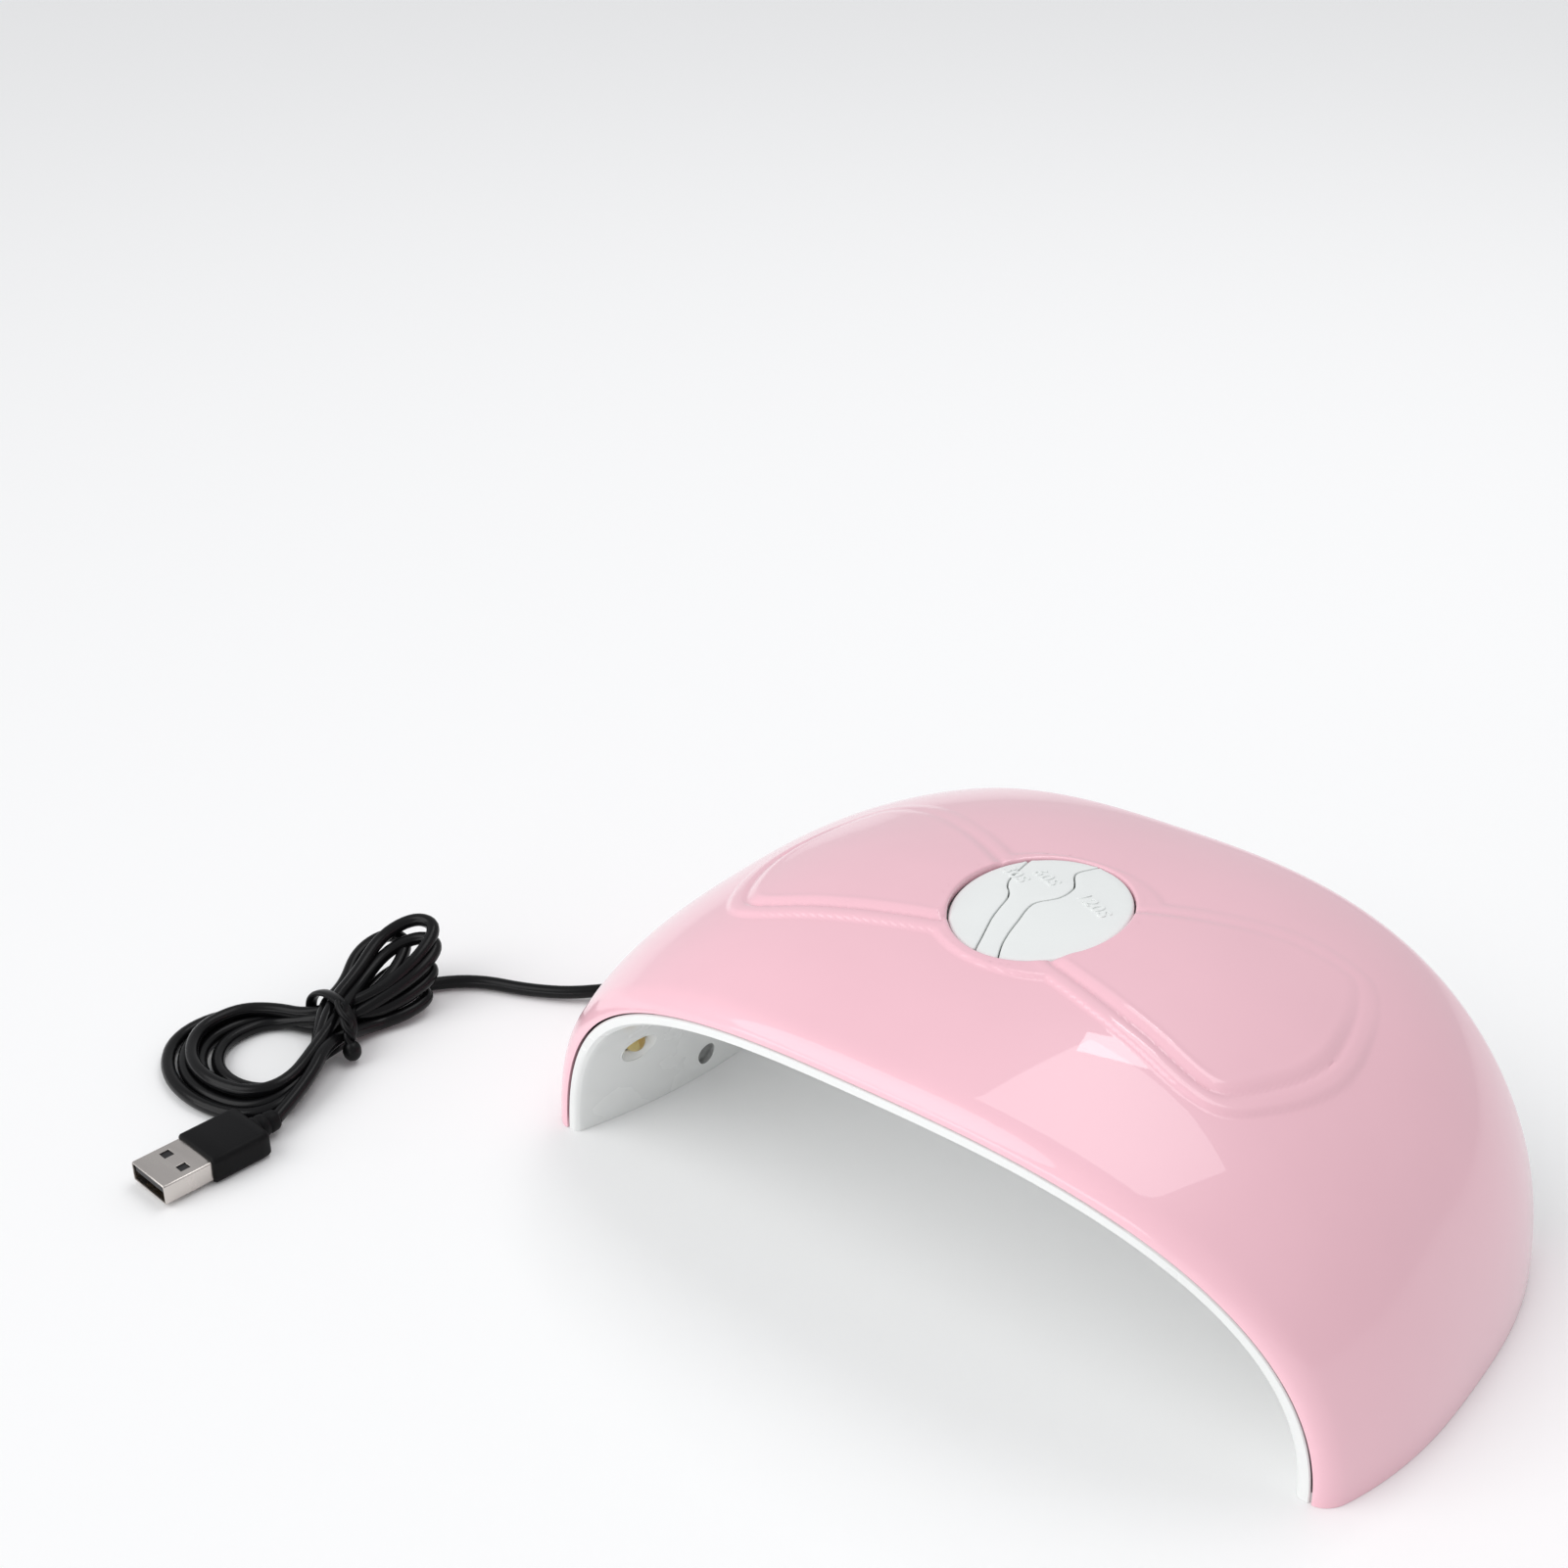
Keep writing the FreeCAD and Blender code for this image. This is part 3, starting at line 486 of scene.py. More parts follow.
def cover_shell():
    """The pink cover: bow relief, rounded key opening, inner wall and cable notch."""
    grid = cover_grid()
    rows, cols = grid.shape[:2]
    x, y, z = grid[..., 0], grid[..., 1], grid[..., 2]
    removed = (plate_reach(x, y) < COLLAR_SHARE) & (z > TOP_FLOOR)
    lifted = grid.copy()
    lifted[..., 2] = z + relief(x, y, z)
    verts = [tuple(p) for p in lifted.reshape(-1, 3)]
    faces = []
    edge_use = {}
    for i in range(rows - 1):
        for j in range(cols - 1):
            quad = (i * cols + j, i * cols + j + 1, (i + 1) * cols + j + 1, (i + 1) * cols + j)
            if removed[i, j] or removed[i, j + 1] or removed[i + 1, j + 1] or removed[i + 1, j]:
                continue
            faces.append(quad)
            for a, b in zip(quad, quad[1:] + quad[:1]):
                edge_use.setdefault((min(a, b), max(a, b)), []).append((a, b))
    loop = open_border(grid.reshape(-1, 3), edge_use)
    bearings = even_bearings(verts, loop)
    previous = loop
    rx, ry = PLATE_RX + KEY_GAP, PLATE_RY + KEY_GAP
    for share, drop in collar_profile(rx):
        px = PLATE_X + rx * share * np.cos(bearings)
        py = PLATE_Y + ry * share * np.sin(bearings)
        pz = crown_height(px, py)
        pz = pz + relief(px, py, pz) + drop
        base = len(verts)
        verts.extend(zip(px, py, pz))
        ring = [base + k for k in range(len(loop))]
        for k in range(len(loop)):
            n = (k + 1) % len(loop)
            faces.append((previous[k], previous[n], ring[n], ring[k]))
        previous = ring
    obj = mesh_object("cover", verts, faces, PINK)
    if obj.data.polygons[len(obj.data.polygons) // 3].normal.z < 0:
        obj.data.flip_normals()
    wall = obj.modifiers.new("wall", "SOLIDIFY")
    wall.thickness = COVER_SKIN * MM
    wall.offset = -1.0
    bake(obj)
    cut_notch(obj)
    sharp_by_angle(obj, 50.0)
    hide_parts("top_shell")
    return obj


def notch_outline():
    """(y, z) outline of the cable notch, open below the floor line."""
    half, corner = NOTCH_W / 2.0, NOTCH_CORNER
    pts = [(NOTCH_Y - half, -2.0), (NOTCH_Y - half, NOTCH_H - corner)]
    for a in range(15, 90, 15):
        t = math.radians(a)
        pts.append((NOTCH_Y - half + corner * (1 - math.cos(t)), NOTCH_H - corner * (1 - math.sin(t))))
    pts += [(NOTCH_Y - half + corner, NOTCH_H)]
    return pts + [(2 * NOTCH_Y - py, pz) for py, pz in reversed(pts)]


def cut_notch(obj):
    outline = notch_outline()
    count = len(outline)
    verts = [(px, py, pz) for px in (-99.0, -89.0) for py, pz in outline]
    faces = [tuple(range(count)), tuple(range(2 * count - 1, count - 1, -1))]
    faces += [(k, k + count, (k + 1) % count + count, (k + 1) % count) for k in range(count)]
    tool = mesh_object("notch_tool", verts, faces, PINK, smooth_shade=False)
    cut = obj.modifiers.new("notch", "BOOLEAN")
    cut.operation = "DIFFERENCE"
    cut.object = tool
    bake(obj)
    bpy.data.objects.remove(tool)


# ---------------------------------------------------------------- white vault

def spot_frame(v, angle):
    """A point of the vault's inner surface and the direction away from the tunnel."""
    v, angle, step = np.array(v), np.array(angle), 0.01
    here = vault_points(v, angle)
    across = vault_points(v + step, angle) - vault_points(v - step, angle)
    along = vault_points(v, angle + step) - vault_points(v, angle - step)
    normal = np.cross(across, along)
    normal = normal / np.linalg.norm(normal)
    if normal @ np.array([here[0], 0, here[2] - 20.0]) < 0:
        normal = -normal
    return Vector(here), Vector(normal)


def vault_spot(side, y, z):
    v = y / (HALF_DEPTH_FOOT + DEPTH_FLARE * (z / 50.0) ** 2)
    height = HEIGHT_EDGE - RIM_TOP - VAULT_BULGE_TOP * (1.0 - v * v)
    angle = math.asin((z / height) ** (ARCH_M / 2.0))
    return spot_frame(v, math.pi - angle if side < 0 else angle)


def crown_spot(x, y):
    v = y / (HALF_DEPTH_FOOT + DEPTH_FLARE)
    half_span = HALF_SPAN_EDGE - RIM_SIDE - VAULT_BULGE_SIDE * (1.0 - v * v)
    return spot_frame(v, math.acos(math.copysign((abs(x) / half_span) ** (ARCH_N / 2.0), x)))


LED_SPOTS = [vault_spot(s, y, z) for s in (-1, 1) for y, z in SIDE_LEDS] + [crown_spot(x, y) for x, y in TOP_LEDS]
SCREW_SPOTS = [(s, y) for s in (-1, 1) for y in SCREW_YS]


def vault_loop():
    """(share of depth, outset) round the vault's section: tunnel side, rim, outer side, other rim."""
    front = [(v, 0.0) for v in np.linspace(-0.985, 0.985, 75)]
    rim = [(1.0 - 0.015 * math.cos(math.radians(a)), RIM_ROUND * (1 - math.cos(math.radians(a))))
           for a in (30, 60, 90)]
    rim += [(1.0, 1.4), (1.0, RIM_WALL - 0.35), (0.994, RIM_WALL - 0.05), (0.985, RIM_WALL)]
    back = [(v, VAULT_WALL) for v in np.linspace(0.93, -0.93, 21)]
    return front + rim + back + [(-v, o) for v, o in reversed(rim)]


def hole_tool(radius, centre, axis):
    """Cylinder that cuts through the vault's wall."""
    return lathe([(0.001, -3.0), (radius, -3.0), (radius, 4.5), (0.001, 4.5)], centre, axis)


def vault_shell():
    """The white vault, with holes where the LED dimples and screw pockets come."""
    angles = arch_angles([(200, 1.7)])
    loop = vault_loop()
    rings = [vault_points(np.array(v), angles, o) for v, o in loop]
    count = len(loop)
    cols = len(angles)
    verts = [tuple(p) for ring in rings for p in ring]
    faces = []
    for i in range(count):
        k = (i + 1) % count
        for j in range(cols - 1):
            faces.append((i * cols + j, i * cols + j + 1, k * cols + j + 1, k * cols + j))
    faces.append(tuple(i * cols for i in range(count)))
    faces.append(tuple(i * cols + cols - 1 for i in reversed(range(count))))
    obj = mesh_object("vault", verts, faces, WHITE)
    parts = [hole_tool(DIMPLE_R, here, normal) for here, normal in LED_SPOTS]
    for side, y in SCREW_SPOTS:
        parts.append(hole_tool(POCKET_R, vault_spot(side, y, SCREW_Z)[0], (side, 0, 0)))
    verts, faces = joined(parts)
    tool = mesh_object("vault_tool", verts, faces, WHITE)
    weld(tool)
    cut = obj.modifiers.new("holes", "BOOLEAN")
    cut.operation = "DIFFERENCE"
    cut.object = tool
    bake(obj)
    bpy.data.objects.remove(tool)
    sharp_by_angle(obj, 42.0)
    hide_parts("inner_shell")


def weld(obj, distance=0.01):
    """Joins points closer than the distance."""
    bm = bmesh.new()
    bm.from_mesh(obj.data)
    bmesh.ops.remove_doubles(bm, verts=bm.verts, dist=distance * MM)
    bmesh.ops.recalc_face_normals(bm, faces=bm.faces)
    bm.to_mesh(obj.data)
    bm.free()


def vault_cups():
    """Reflector dimples behind the LED holes, and the walls of the screw pockets."""
    flange = DIMPLE_R + 0.5
    dimple = [(DIMPLE_R, -0.04), (DIMPLE_R - 0.25, 0.1), (LED_HOLE_R + 0.25, DIMPLE_DEPTH - 0.5),
              (LED_HOLE_R, DIMPLE_DEPTH - 0.25), (LED_HOLE_R, DIMPLE_DEPTH), (flange, DIMPLE_DEPTH), (flange, 0.3),
              (DIMPLE_R, -0.04)]
    parts = [lathe(dimple, h, n, 48) for h, n in LED_SPOTS]
    verts, faces = joined(parts)
    cups = mesh_object("led_reflectors", verts, faces, WHITE)
    weld(cups)
    sharp_by_angle(cups, 50.0)
    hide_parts("inner_shell")
    mouth, outside, end = 0.15, POCKET_R + 1.0, POCKET_DEPTH + 1.4
    pocket = [(POCKET_R, mouth), (POCKET_R, POCKET_DEPTH), (SCREW_HOLE_R, POCKET_DEPTH), (SCREW_HOLE_R, end),
              (outside, end), (outside, 1.0), (POCKET_R, mouth)]
    parts = [lathe(pocket, vault_spot(side, y, SCREW_Z)[0], (side, 0, 0)) for side, y in SCREW_SPOTS]
    verts, faces = joined(parts)
    pockets = mesh_object("screw_pockets", verts, faces, WHITE)
    weld(pockets)
    sharp_by_angle(pockets, 40.0)
    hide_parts("inner_shell")


def foot_soles():
    """Lens-shaped plates that close the two feet."""
    parts = []
    for side in (-1, 1):
        outer = []
        inner = []
        for v in np.linspace(-0.985, 0.985, 61):
            edge = HALF_SPAN_EDGE + SPAN_SWELL * float(swell(v)) - SOLE_OUTER_INSET
            wall = HALF_SPAN_EDGE - RIM_SIDE - VAULT_BULGE_SIDE * (1.0 - v * v) + SOLE_INNER_INSET
            y = v * HALF_DEPTH_FOOT
            if side < 0 and abs(y - NOTCH_Y) < NOTCH_W / 2.0 + 1.0:
                edge = 86.2
            outer.append((side * edge, y))
            inner.append((side * wall, y))
        loop = outer + inner[::-1]
        count = len(loop)
        verts = [(x, y, z) for z in (0.0, SOLE_THICK) for x, y in loop]
        faces = [(k, (k + 1) % count, (k + 1) % count + count, k + count) for k in range(count)]
        half = count // 2
        for level in (0, count):
            for k in range(half - 1):
                faces.append((level + k, level + k + 1, level + count - 2 - k, level + count - 1 - k))
        parts.append((verts, faces))
    verts, faces = joined(parts)
    soles = mesh_object("foot_soles", verts, faces, WHITE, smooth_shade=False)
    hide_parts("inner_shell")


# ---------------------------------------------------------------- keys

def plate_height(x, y):
    """Height of the keys' domed top."""
    r2 = (x - PLATE_X) ** 2 + (y - PLATE_Y) ** 2
    return PLATE_TOP - PLATE_DOME_R + np.sqrt(PLATE_DOME_R ** 2 - r2)


def key_regions():
    """Plan outlines of the three keys, split by the two slits."""
    walls = []
    for route in (SLIT_LEFT, SLIT_RIGHT):
        line = spline(route, 6)
        tangent = np.gradient(line, axis=0)
        normal = np.stack([tangent[:, 1], -tangent[:, 0]], 1) / np.linalg.norm(tangent, axis=1)[:, None]
        walls.append((line + normal * SLIT / 2.0, line - normal * SLIT / 2.0))
    ring = np.array([(PLATE_X + PLATE_RX * math.cos(a), PLATE_Y + PLATE_RY * math.sin(a))
                     for a in np.linspace(0, 2 * math.pi, 361)[:-1]])

    def clip(line):
        return line[plate_reach(line[:, 0], line[:, 1]) < 1.0]

    def arc(a, b):
        """Ring points from a to b, counter-clockwise."""
        start, end = plate_bearing(*a), plate_bearing(*b)
        if end < start:
            end += 2 * math.pi
        steps = max(3, int((end - start) / math.radians(1.5)))
        return [(PLATE_X + PLATE_RX * math.cos(t), PLATE_Y + PLATE_RY * math.sin(t))
                for t in np.linspace(start, end, steps + 1)[1:-1]]

    sides = []
    for pair in walls:
        a, b = clip(pair[0]), clip(pair[1])
        sides.append((a, b) if a[:, 0].mean() < b[:, 0].mean() else (b, a))
    (l_left, l_right), (r_left, r_right) = sides
    left = list(map(tuple, l_left[::-1])) + arc(l_left[0], l_left[-1])
    middle = list(map(tuple, l_right)) + arc(l_right[-1], r_left[-1]) + list(map(tuple, r_left[::-1]))
    middle += arc(r_left[0], l_right[0])
    right = list(map(tuple, r_right)) + arc(r_right[-1], r_right[0])
    return {"key_30": left, "key_60": middle, "key_120": right}


def key_mesh(name, outline):
    """One key: wall, rounded edge, and a domed top filled with triangles."""
    outline = np.array(outline)
    area = 0.5 * np.sum(outline[:, 0] * np.roll(outline[:, 1], -1) - np.roll(outline[:, 0], -1) * outline[:, 1])
    if area < 0:
        outline = outline[::-1]
    before, after = np.roll(outline, 1, axis=0), np.roll(outline, -1, axis=0)
    tangent = after - before
    inward = np.stack([-tangent[:, 1], tangent[:, 0]], 1) / np.linalg.norm(tangent, axis=1)[:, None]
    on_rim = plate_reach(outline[:, 0], outline[:, 1]) > 0.995
    radius = np.where(on_rim, PLATE_EDGE_ROUND, SLIT_EDGE_ROUND)
    for _ in range(3):
        radius = (np.roll(radius, 1) + radius + np.roll(radius, -1)) / 3.0
    rings = [(0.0, None), (0.0, 1.0)]
    rings += [(1 - math.sin(math.radians(90 - a)), 1 - math.sin(math.radians(a))) for a in (20, 45, 68, 90)]
    count = len(outline)
    verts = []
    foot = PLATE_TOP - PLATE_THICK
    for share, drop in rings:
        ring = outline + inward * (radius * share)[:, None]
        top = plate_height(ring[:, 0], ring[:, 1])
        z = np.full(count, foot) if drop is None else top - radius * drop
        verts.extend(zip(ring[:, 0], ring[:, 1], z))
    faces = ring_faces(len(rings), count)
    last = np.array([v[:2] for v in verts[-count:]])
    inner = np.array([(gx, gy) for gx in np.arange(-18, 18, 1.5) for gy in np.arange(-20, 20, 1.5)])
    inner = inner[inside_distance(inner[:, 0], inner[:, 1], last) > 0.7]
    points = [Vector(p) for p in last] + [Vector(p) for p in inner]
    edges = [(k, (k + 1) % count) for k in range(count)]
    flat, _, tris, _, _, _ = delaunay_2d_cdt(points, edges, [list(range(count))], 1, 1e-5)
    top_base = len(verts)
    for p in flat:
        verts.append((p.x, p.y, float(plate_height(p.x, p.y))))
    faces.extend(tuple(top_base + i for i in t) for t in tris)
    base_points = [Vector(p) for p in outline]
    flat, _, tris, _, _, _ = delaunay_2d_cdt(base_points, edges, [list(range(count))], 1, 1e-5)
    low_base = len(verts)
    verts.extend((p.x, p.y, foot) for p in flat)
    faces.extend(tuple(low_base + i for i in reversed(t)) for t in tris)
    obj = mesh_object(name + "_cap", verts, faces, KEY_WHITE, body=name)
    weld(obj, 0.002)
    sharp_by_angle(obj, 45.0)
    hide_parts(name)


LABELS = (("key_30", "30S", (-13.6, 6.6), -24.0), ("key_60", "60S", (-8.2, 9.2), -24.0),
          ("key_120", "120S", (3.4, 6.4), -27.0))


def key_labels():
    """Raised timer numbers, following the dome of the keys."""
    for key, text, (x, y), turn in LABELS:
        curve = bpy.data.curves.new(key + "_text", "FONT")
        curve.body = text
        curve.size = 4.1
        curve.extrude = 0.20
        curve.bevel_depth = 0.035
        curve.bevel_resolution = 1
        curve.space_character = 1.12
        holder = bpy.data.objects.new(key + "_text", curve)
        bpy.context.collection.objects.link(holder)
        bpy.context.view_layer.update()
        graph = bpy.context.evaluated_depsgraph_get()
        mesh = bpy.data.meshes.new_from_object(holder.evaluated_get(graph))
        bpy.data.objects.remove(holder)
        spin = Matrix.Rotation(math.radians(turn), 2)
        for v in mesh.vertices:
            p = spin @ Vector((v.co.x, v.co.y))
            px, py = p.x + x, p.y + y
            v.co = Vector((px, py, float(plate_height(px, py)) + v.co.z)) * MM
        obj = bpy.data.objects.new(key + "_number", mesh)
        bpy.context.collection.objects.link(obj)
        mesh.materials.clear()
        mesh.materials.append(KEY_WHITE)
        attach(obj, key)
        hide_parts(key)


# ---------------------------------------------------------------- cable, tie and plug

LEAD_ROUTE = [(-103.0, 3.2, 4.0), (-113.0, -6.5, 2.4), (-125.0, -13.0, 1.6), (-138.5, -17.5, 1.6),
              (-147.0, -27.5, 1.8), (-149.0, -42.0, 3.0)]
TAIL_ROUTE = [(-140.5, -60.0, 6.5), (-134.4, -70.6, 4.6), (-131.2, -82.5, 3.1)]
# The hank is a figure eight crossing at the tie: the shape of its outermost turn, about the crossing
CROSS = (-149.2, -52.0)
FRONT_LOOP = ((-16.5, -5.5), (-24.2, -12.0), (-24.6, -24.0), (-15.5, -33.2), (-1.8, -36.4), (11.0, -33.4),
              (15.4, -25.0), (10.4, -13.0))
BACK_LOOP = ((-5.0, 11.0), (-9.0, 21.5), (-6.0, 30.0), (1.0, 30.8), (4.5, 21.0), (3.0, 10.0))
BACK_RISE = (0.60, 0.84, 1.0, 0.98, 0.78, 0.50)
# For each turn: front loop's share and level, back loop's share, angle and height, and the two waist crossings
TURNS = ((1.00, 1.6, 0.88, 10.0, 11.5, (-5.5, 1.6), (-2.6, 6.6)),
         (0.87, 1.6, 0.98, -4.0, 16.0, (-2.4, 1.6), (0.6, 8.6)),
         (0.80, 4.4, 0.92, -10.0, 13.0, (-4.0, 4.3), (3.6, 7.6)),
         (0.74, 1.6, 0.84, -14.0, 8.0, (0.7, 2.2), (5.6, 5.2)),
         (0.60, 1.6, 0.74, -20.0, 3.4, (-0.6, 5.0), (6.6, 2.2)))


def hank_turns():
    """Points of the five turns, from the outermost inwards."""
    points = []
    for share, level, back, turn, height, low_pass, high_pass in TURNS:
        points.append((CROSS[0] + low_pass[0], CROSS[1] - 1.5, low_pass[1]))
        for i, (x, y) in enumerate(FRONT_LOOP):
            climb = max(0.0, (i - 5) / 3.0) * (high_pass[1] - level) * 0.7
            points.append((CROSS[0] + x * share, CROSS[1] + y * (0.35 + 0.65 * share), level + climb))
        points.append((CROSS[0] + high_pass[0], CROSS[1] + 0.5, high_pass[1]))
        spin = math.radians(turn)
        for (x, y), rise in zip(BACK_LOOP, BACK_RISE):
            points.append((CROSS[0] + back * (x * math.cos(spin) - y * math.sin(spin)) + 1.5,
                           CROSS[1] + back * (x * math.sin(spin) + y * math.cos(spin)), max(1.6, height * rise)))
    return points


def cord_curve(points, name, radius):
    """An open NURBS tube through millimetre points."""
    data = bpy.data.curves.new(name, "CURVE")
    data.dimensions = "3D"
    line = data.splines.new("NURBS")
    line.points.add(len(points) - 1)
    for target, p in zip(line.points, points):
        target.co = (p[0] * MM, p[1] * MM, p[2] * MM, 1.0)
    line.order_u = 3
    line.use_endpoint_u = True
    line.resolution_u = 6
    data.bevel_depth = radius * MM
    data.bevel_resolution = 5
    data.use_fill_caps = True
    obj = bpy.data.objects.new(name, data)
    bpy.context.collection.objects.link(obj)
    return obj


def power_cord():
    """The lead, hank and plug run as one cord."""
    obj = cord_curve(LEAD_ROUTE + hank_turns() + TAIL_ROUTE, "power_cord", CABLE_D / 2.0)
    obj.data.materials.append(DARK_RUBBER)
    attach(obj, "housing")
    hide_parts("power_cable", "cable_hank")
    line_length(obj)
    return obj


def line_length(obj):
    """Length of the cord's own spline, rounded to a centimetre."""
    plain = obj.data.copy()
    plain.bevel_depth = 0.0
    holder = bpy.data.objects.new("measure", plain)
    bpy.context.collection.objects.link(holder)
    bpy.context.view_layer.update()
    graph = bpy.context.evaluated_depsgraph_get()
    mesh = bpy.data.meshes.new_from_object(holder.evaluated_get(graph))
    pts = [v.co.copy() for v in mesh.vertices]
    bpy.data.objects.remove(holder)
    length = round(sum((b - a).length for a, b in zip(pts, pts[1:])), 2)
    print("CORD LENGTH", length)
    return length


def cable_tie():
    """Flat coated tie: a band round the waist with its two ends twisted and turned down."""
    centre = Vector((-148.1, -52.2, 5.6))
    turn = math.radians(-14.0)
    across = Vector((math.cos(turn), math.sin(turn), 0))
    along = Vector((-math.sin(turn), math.cos(turn), 0))
    path = []
    steps = 56
    for i in range(steps):
        a = 2 * math.pi * i / steps
        drift = along * (1.1 * math.sin(a + 0.6))
        lift = Vector((0, 0, 4.9 * math.sin(a) + 0.6 * math.cos(a)))
        path.append(centre + across * (8.5 * math.cos(a)) + lift + drift)
    half_w, half_t = 1.35, 0.7
    verts = []
    faces = []
    for i, p in enumerate(path):
        ahead = (path[(i + 1) % steps] - path[i - 1]).normalized()
        outward = (p - centre)
        outward = (outward - ahead * outward.dot(ahead)).normalized()
        side = ahead.cross(outward).normalized()
        for k in range(12):
            t = 2 * math.pi * k / 12
            c, s = math.cos(t), math.sin(t)
            ox = half_w * math.copysign(abs(c) ** 0.7, c)
            oz = half_t * math.copysign(abs(s) ** 0.7, s)
            verts.append(p + side * ox + outward * oz)
    for i in range(steps):
        n = (i + 1) % steps
        for k in range(12):
            m = (k + 1) % 12
            faces.append((i * 12 + k, i * 12 + m, n * 12 + m, n * 12 + k))
    band = mesh_object("tie_band", verts, faces, TIE_BLACK)
    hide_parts("cable_tie")
    start, end = Vector((-144.0, -52.6, 11.4)), Vector((-137.9, -55.6, 3.0))
    parts = []
    for strand in (0, 1):
        ring_pts = []
        for i in range(31):
            t = i / 30.0
            core = start.lerp(end, t) + Vector((1.5, -0.8, 0.6)) * math.sin(math.pi * t)
            spin = 2 * math.pi * (1.6 * t) + math.pi * strand
            ring_pts.append(core + Vector((math.cos(spin), math.sin(spin), 0)) * 0.62)
        parts.append(tapered_tube(ring_pts, 0.78, 10))
    tip = end + Vector((0.4, -0.3, 0.0))
    bead = [(2.05 * math.sin(math.radians(a)), -2.3 * math.cos(math.radians(a))) for a in range(2, 180, 11)]
    parts.append(lathe(bead, tip, (0.35, -0.15, -0.9), 24))
    verts, faces = joined(parts)
    twist = mesh_object("tie_twist", verts, faces, TIE_BLACK)
    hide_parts("cable_tie")
    return [band, twist]


def tapered_tube(points, radius, sides):
    """A closed tube that narrows over its last two points."""
    verts = []
    count = len(points)
    guide = Vector((0.3, 0.9, 0.31)).normalized()
    for i, p in enumerate(points):
        ahead = (points[min(i + 1, count - 1)] - points[max(i - 1, 0)]).normalized()
        side = ahead.cross(guide).normalized()
        up = side.cross(ahead)
        r = radius * {count - 1: 0.35, count - 2: 0.85}.get(i, 1.0)
        for k in range(sides):
            t = 2 * math.pi * k / sides
            verts.append(p + side * (r * math.cos(t)) + up * (r * math.sin(t)))
    return verts, ring_faces(count, sides) + end_faces(count, sides)


def rounded_section(width, height, corner, steps=5):
    """Plan points of a rounded rectangle."""
    pts = []
    for sx, sz, start in ((1, 1, 0), (-1, 1, 90), (-1, -1, 180), (1, -1, 270)):
        for i in range(steps + 1):
            a = math.radians(start + 90.0 * i / steps)
            pts.append((sx * (width / 2 - corner) + corner * math.cos(a),
                        sz * (height / 2 - corner) + corner * math.sin(a)))
    return pts


def plug_point(x, y, z):
    """From the plug's own axes to the scene's."""
    c, s = math.cos(math.radians(PLUG_SPIN)), math.sin(math.radians(PLUG_SPIN))
    return (PLUG_TAIL[0] + x * c - y * s, PLUG_TAIL[1] + x * s + y * c, z)


def lofted(sections):
    """A closed body; sections are (y, [(x, z)]) with equal counts, front to back."""
    count = len(sections[0][1])
    verts = [plug_point(x, y, z) for y, loop in sections for x, z in loop]
    return verts, ring_faces(len(sections), count) + end_faces(len(sections), count)


def plug():
    """Overmoulded USB-A plug: body with softened edges, ribbed tail and a folded shell with windows."""
    zc = PLUG_H / 2.0
    front = -(PLUG_STUB + PLUG_BODY)
    sections = []
    for y, inset in ((front, 0.55), (front + 0.18, 0.22), (front + 0.55, 0.0), (front + 4.0, 0.0),
                     (-PLUG_STUB - 2.4, 0.0), (-PLUG_STUB - 0.7, 0.12), (-PLUG_STUB - 0.2, 0.4), (-PLUG_STUB, 0.8)):
        loop = rounded_section(PLUG_W - 2 * inset, PLUG_H - 2 * inset, max(0.5, 1.5 - inset), 6)
        sections.append((y, [(x, z + zc) for x, z in loop]))
    body = mesh_object("plug_body", *lofted(sections), MATTE_BLACK)
    sharp_by_angle(body, 55.0)
    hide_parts("plug_overmold")
    profile = []
    for i in range(0, 12):
        y = -PLUG_STUB - 0.4 + i * 0.5
        groove = 0.28 if i % 4 == 3 and i < 11 else 0.0
        profile.append((2.75 - 0.5 * i / 11.0 - groove, y))
    profile += [(1.95, 0.08), (1.52, 0.18)]
    verts = []
    sides = 28
    for r, y in profile:
        for k in range(sides):
            a = 2 * math.pi * k / sides
            verts.append(plug_point(r * math.cos(a), y, zc + r * math.sin(a)))
    faces = ring_faces(len(profile), sides) + end_faces(len(profile), sides)
    tail = mesh_object("plug_tail", verts, faces, MATTE_BLACK)
    sharp_by_angle(tail, 50.0)
    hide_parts("plug_overmold")
    return [body, tail, plug_shell(front, zc)]


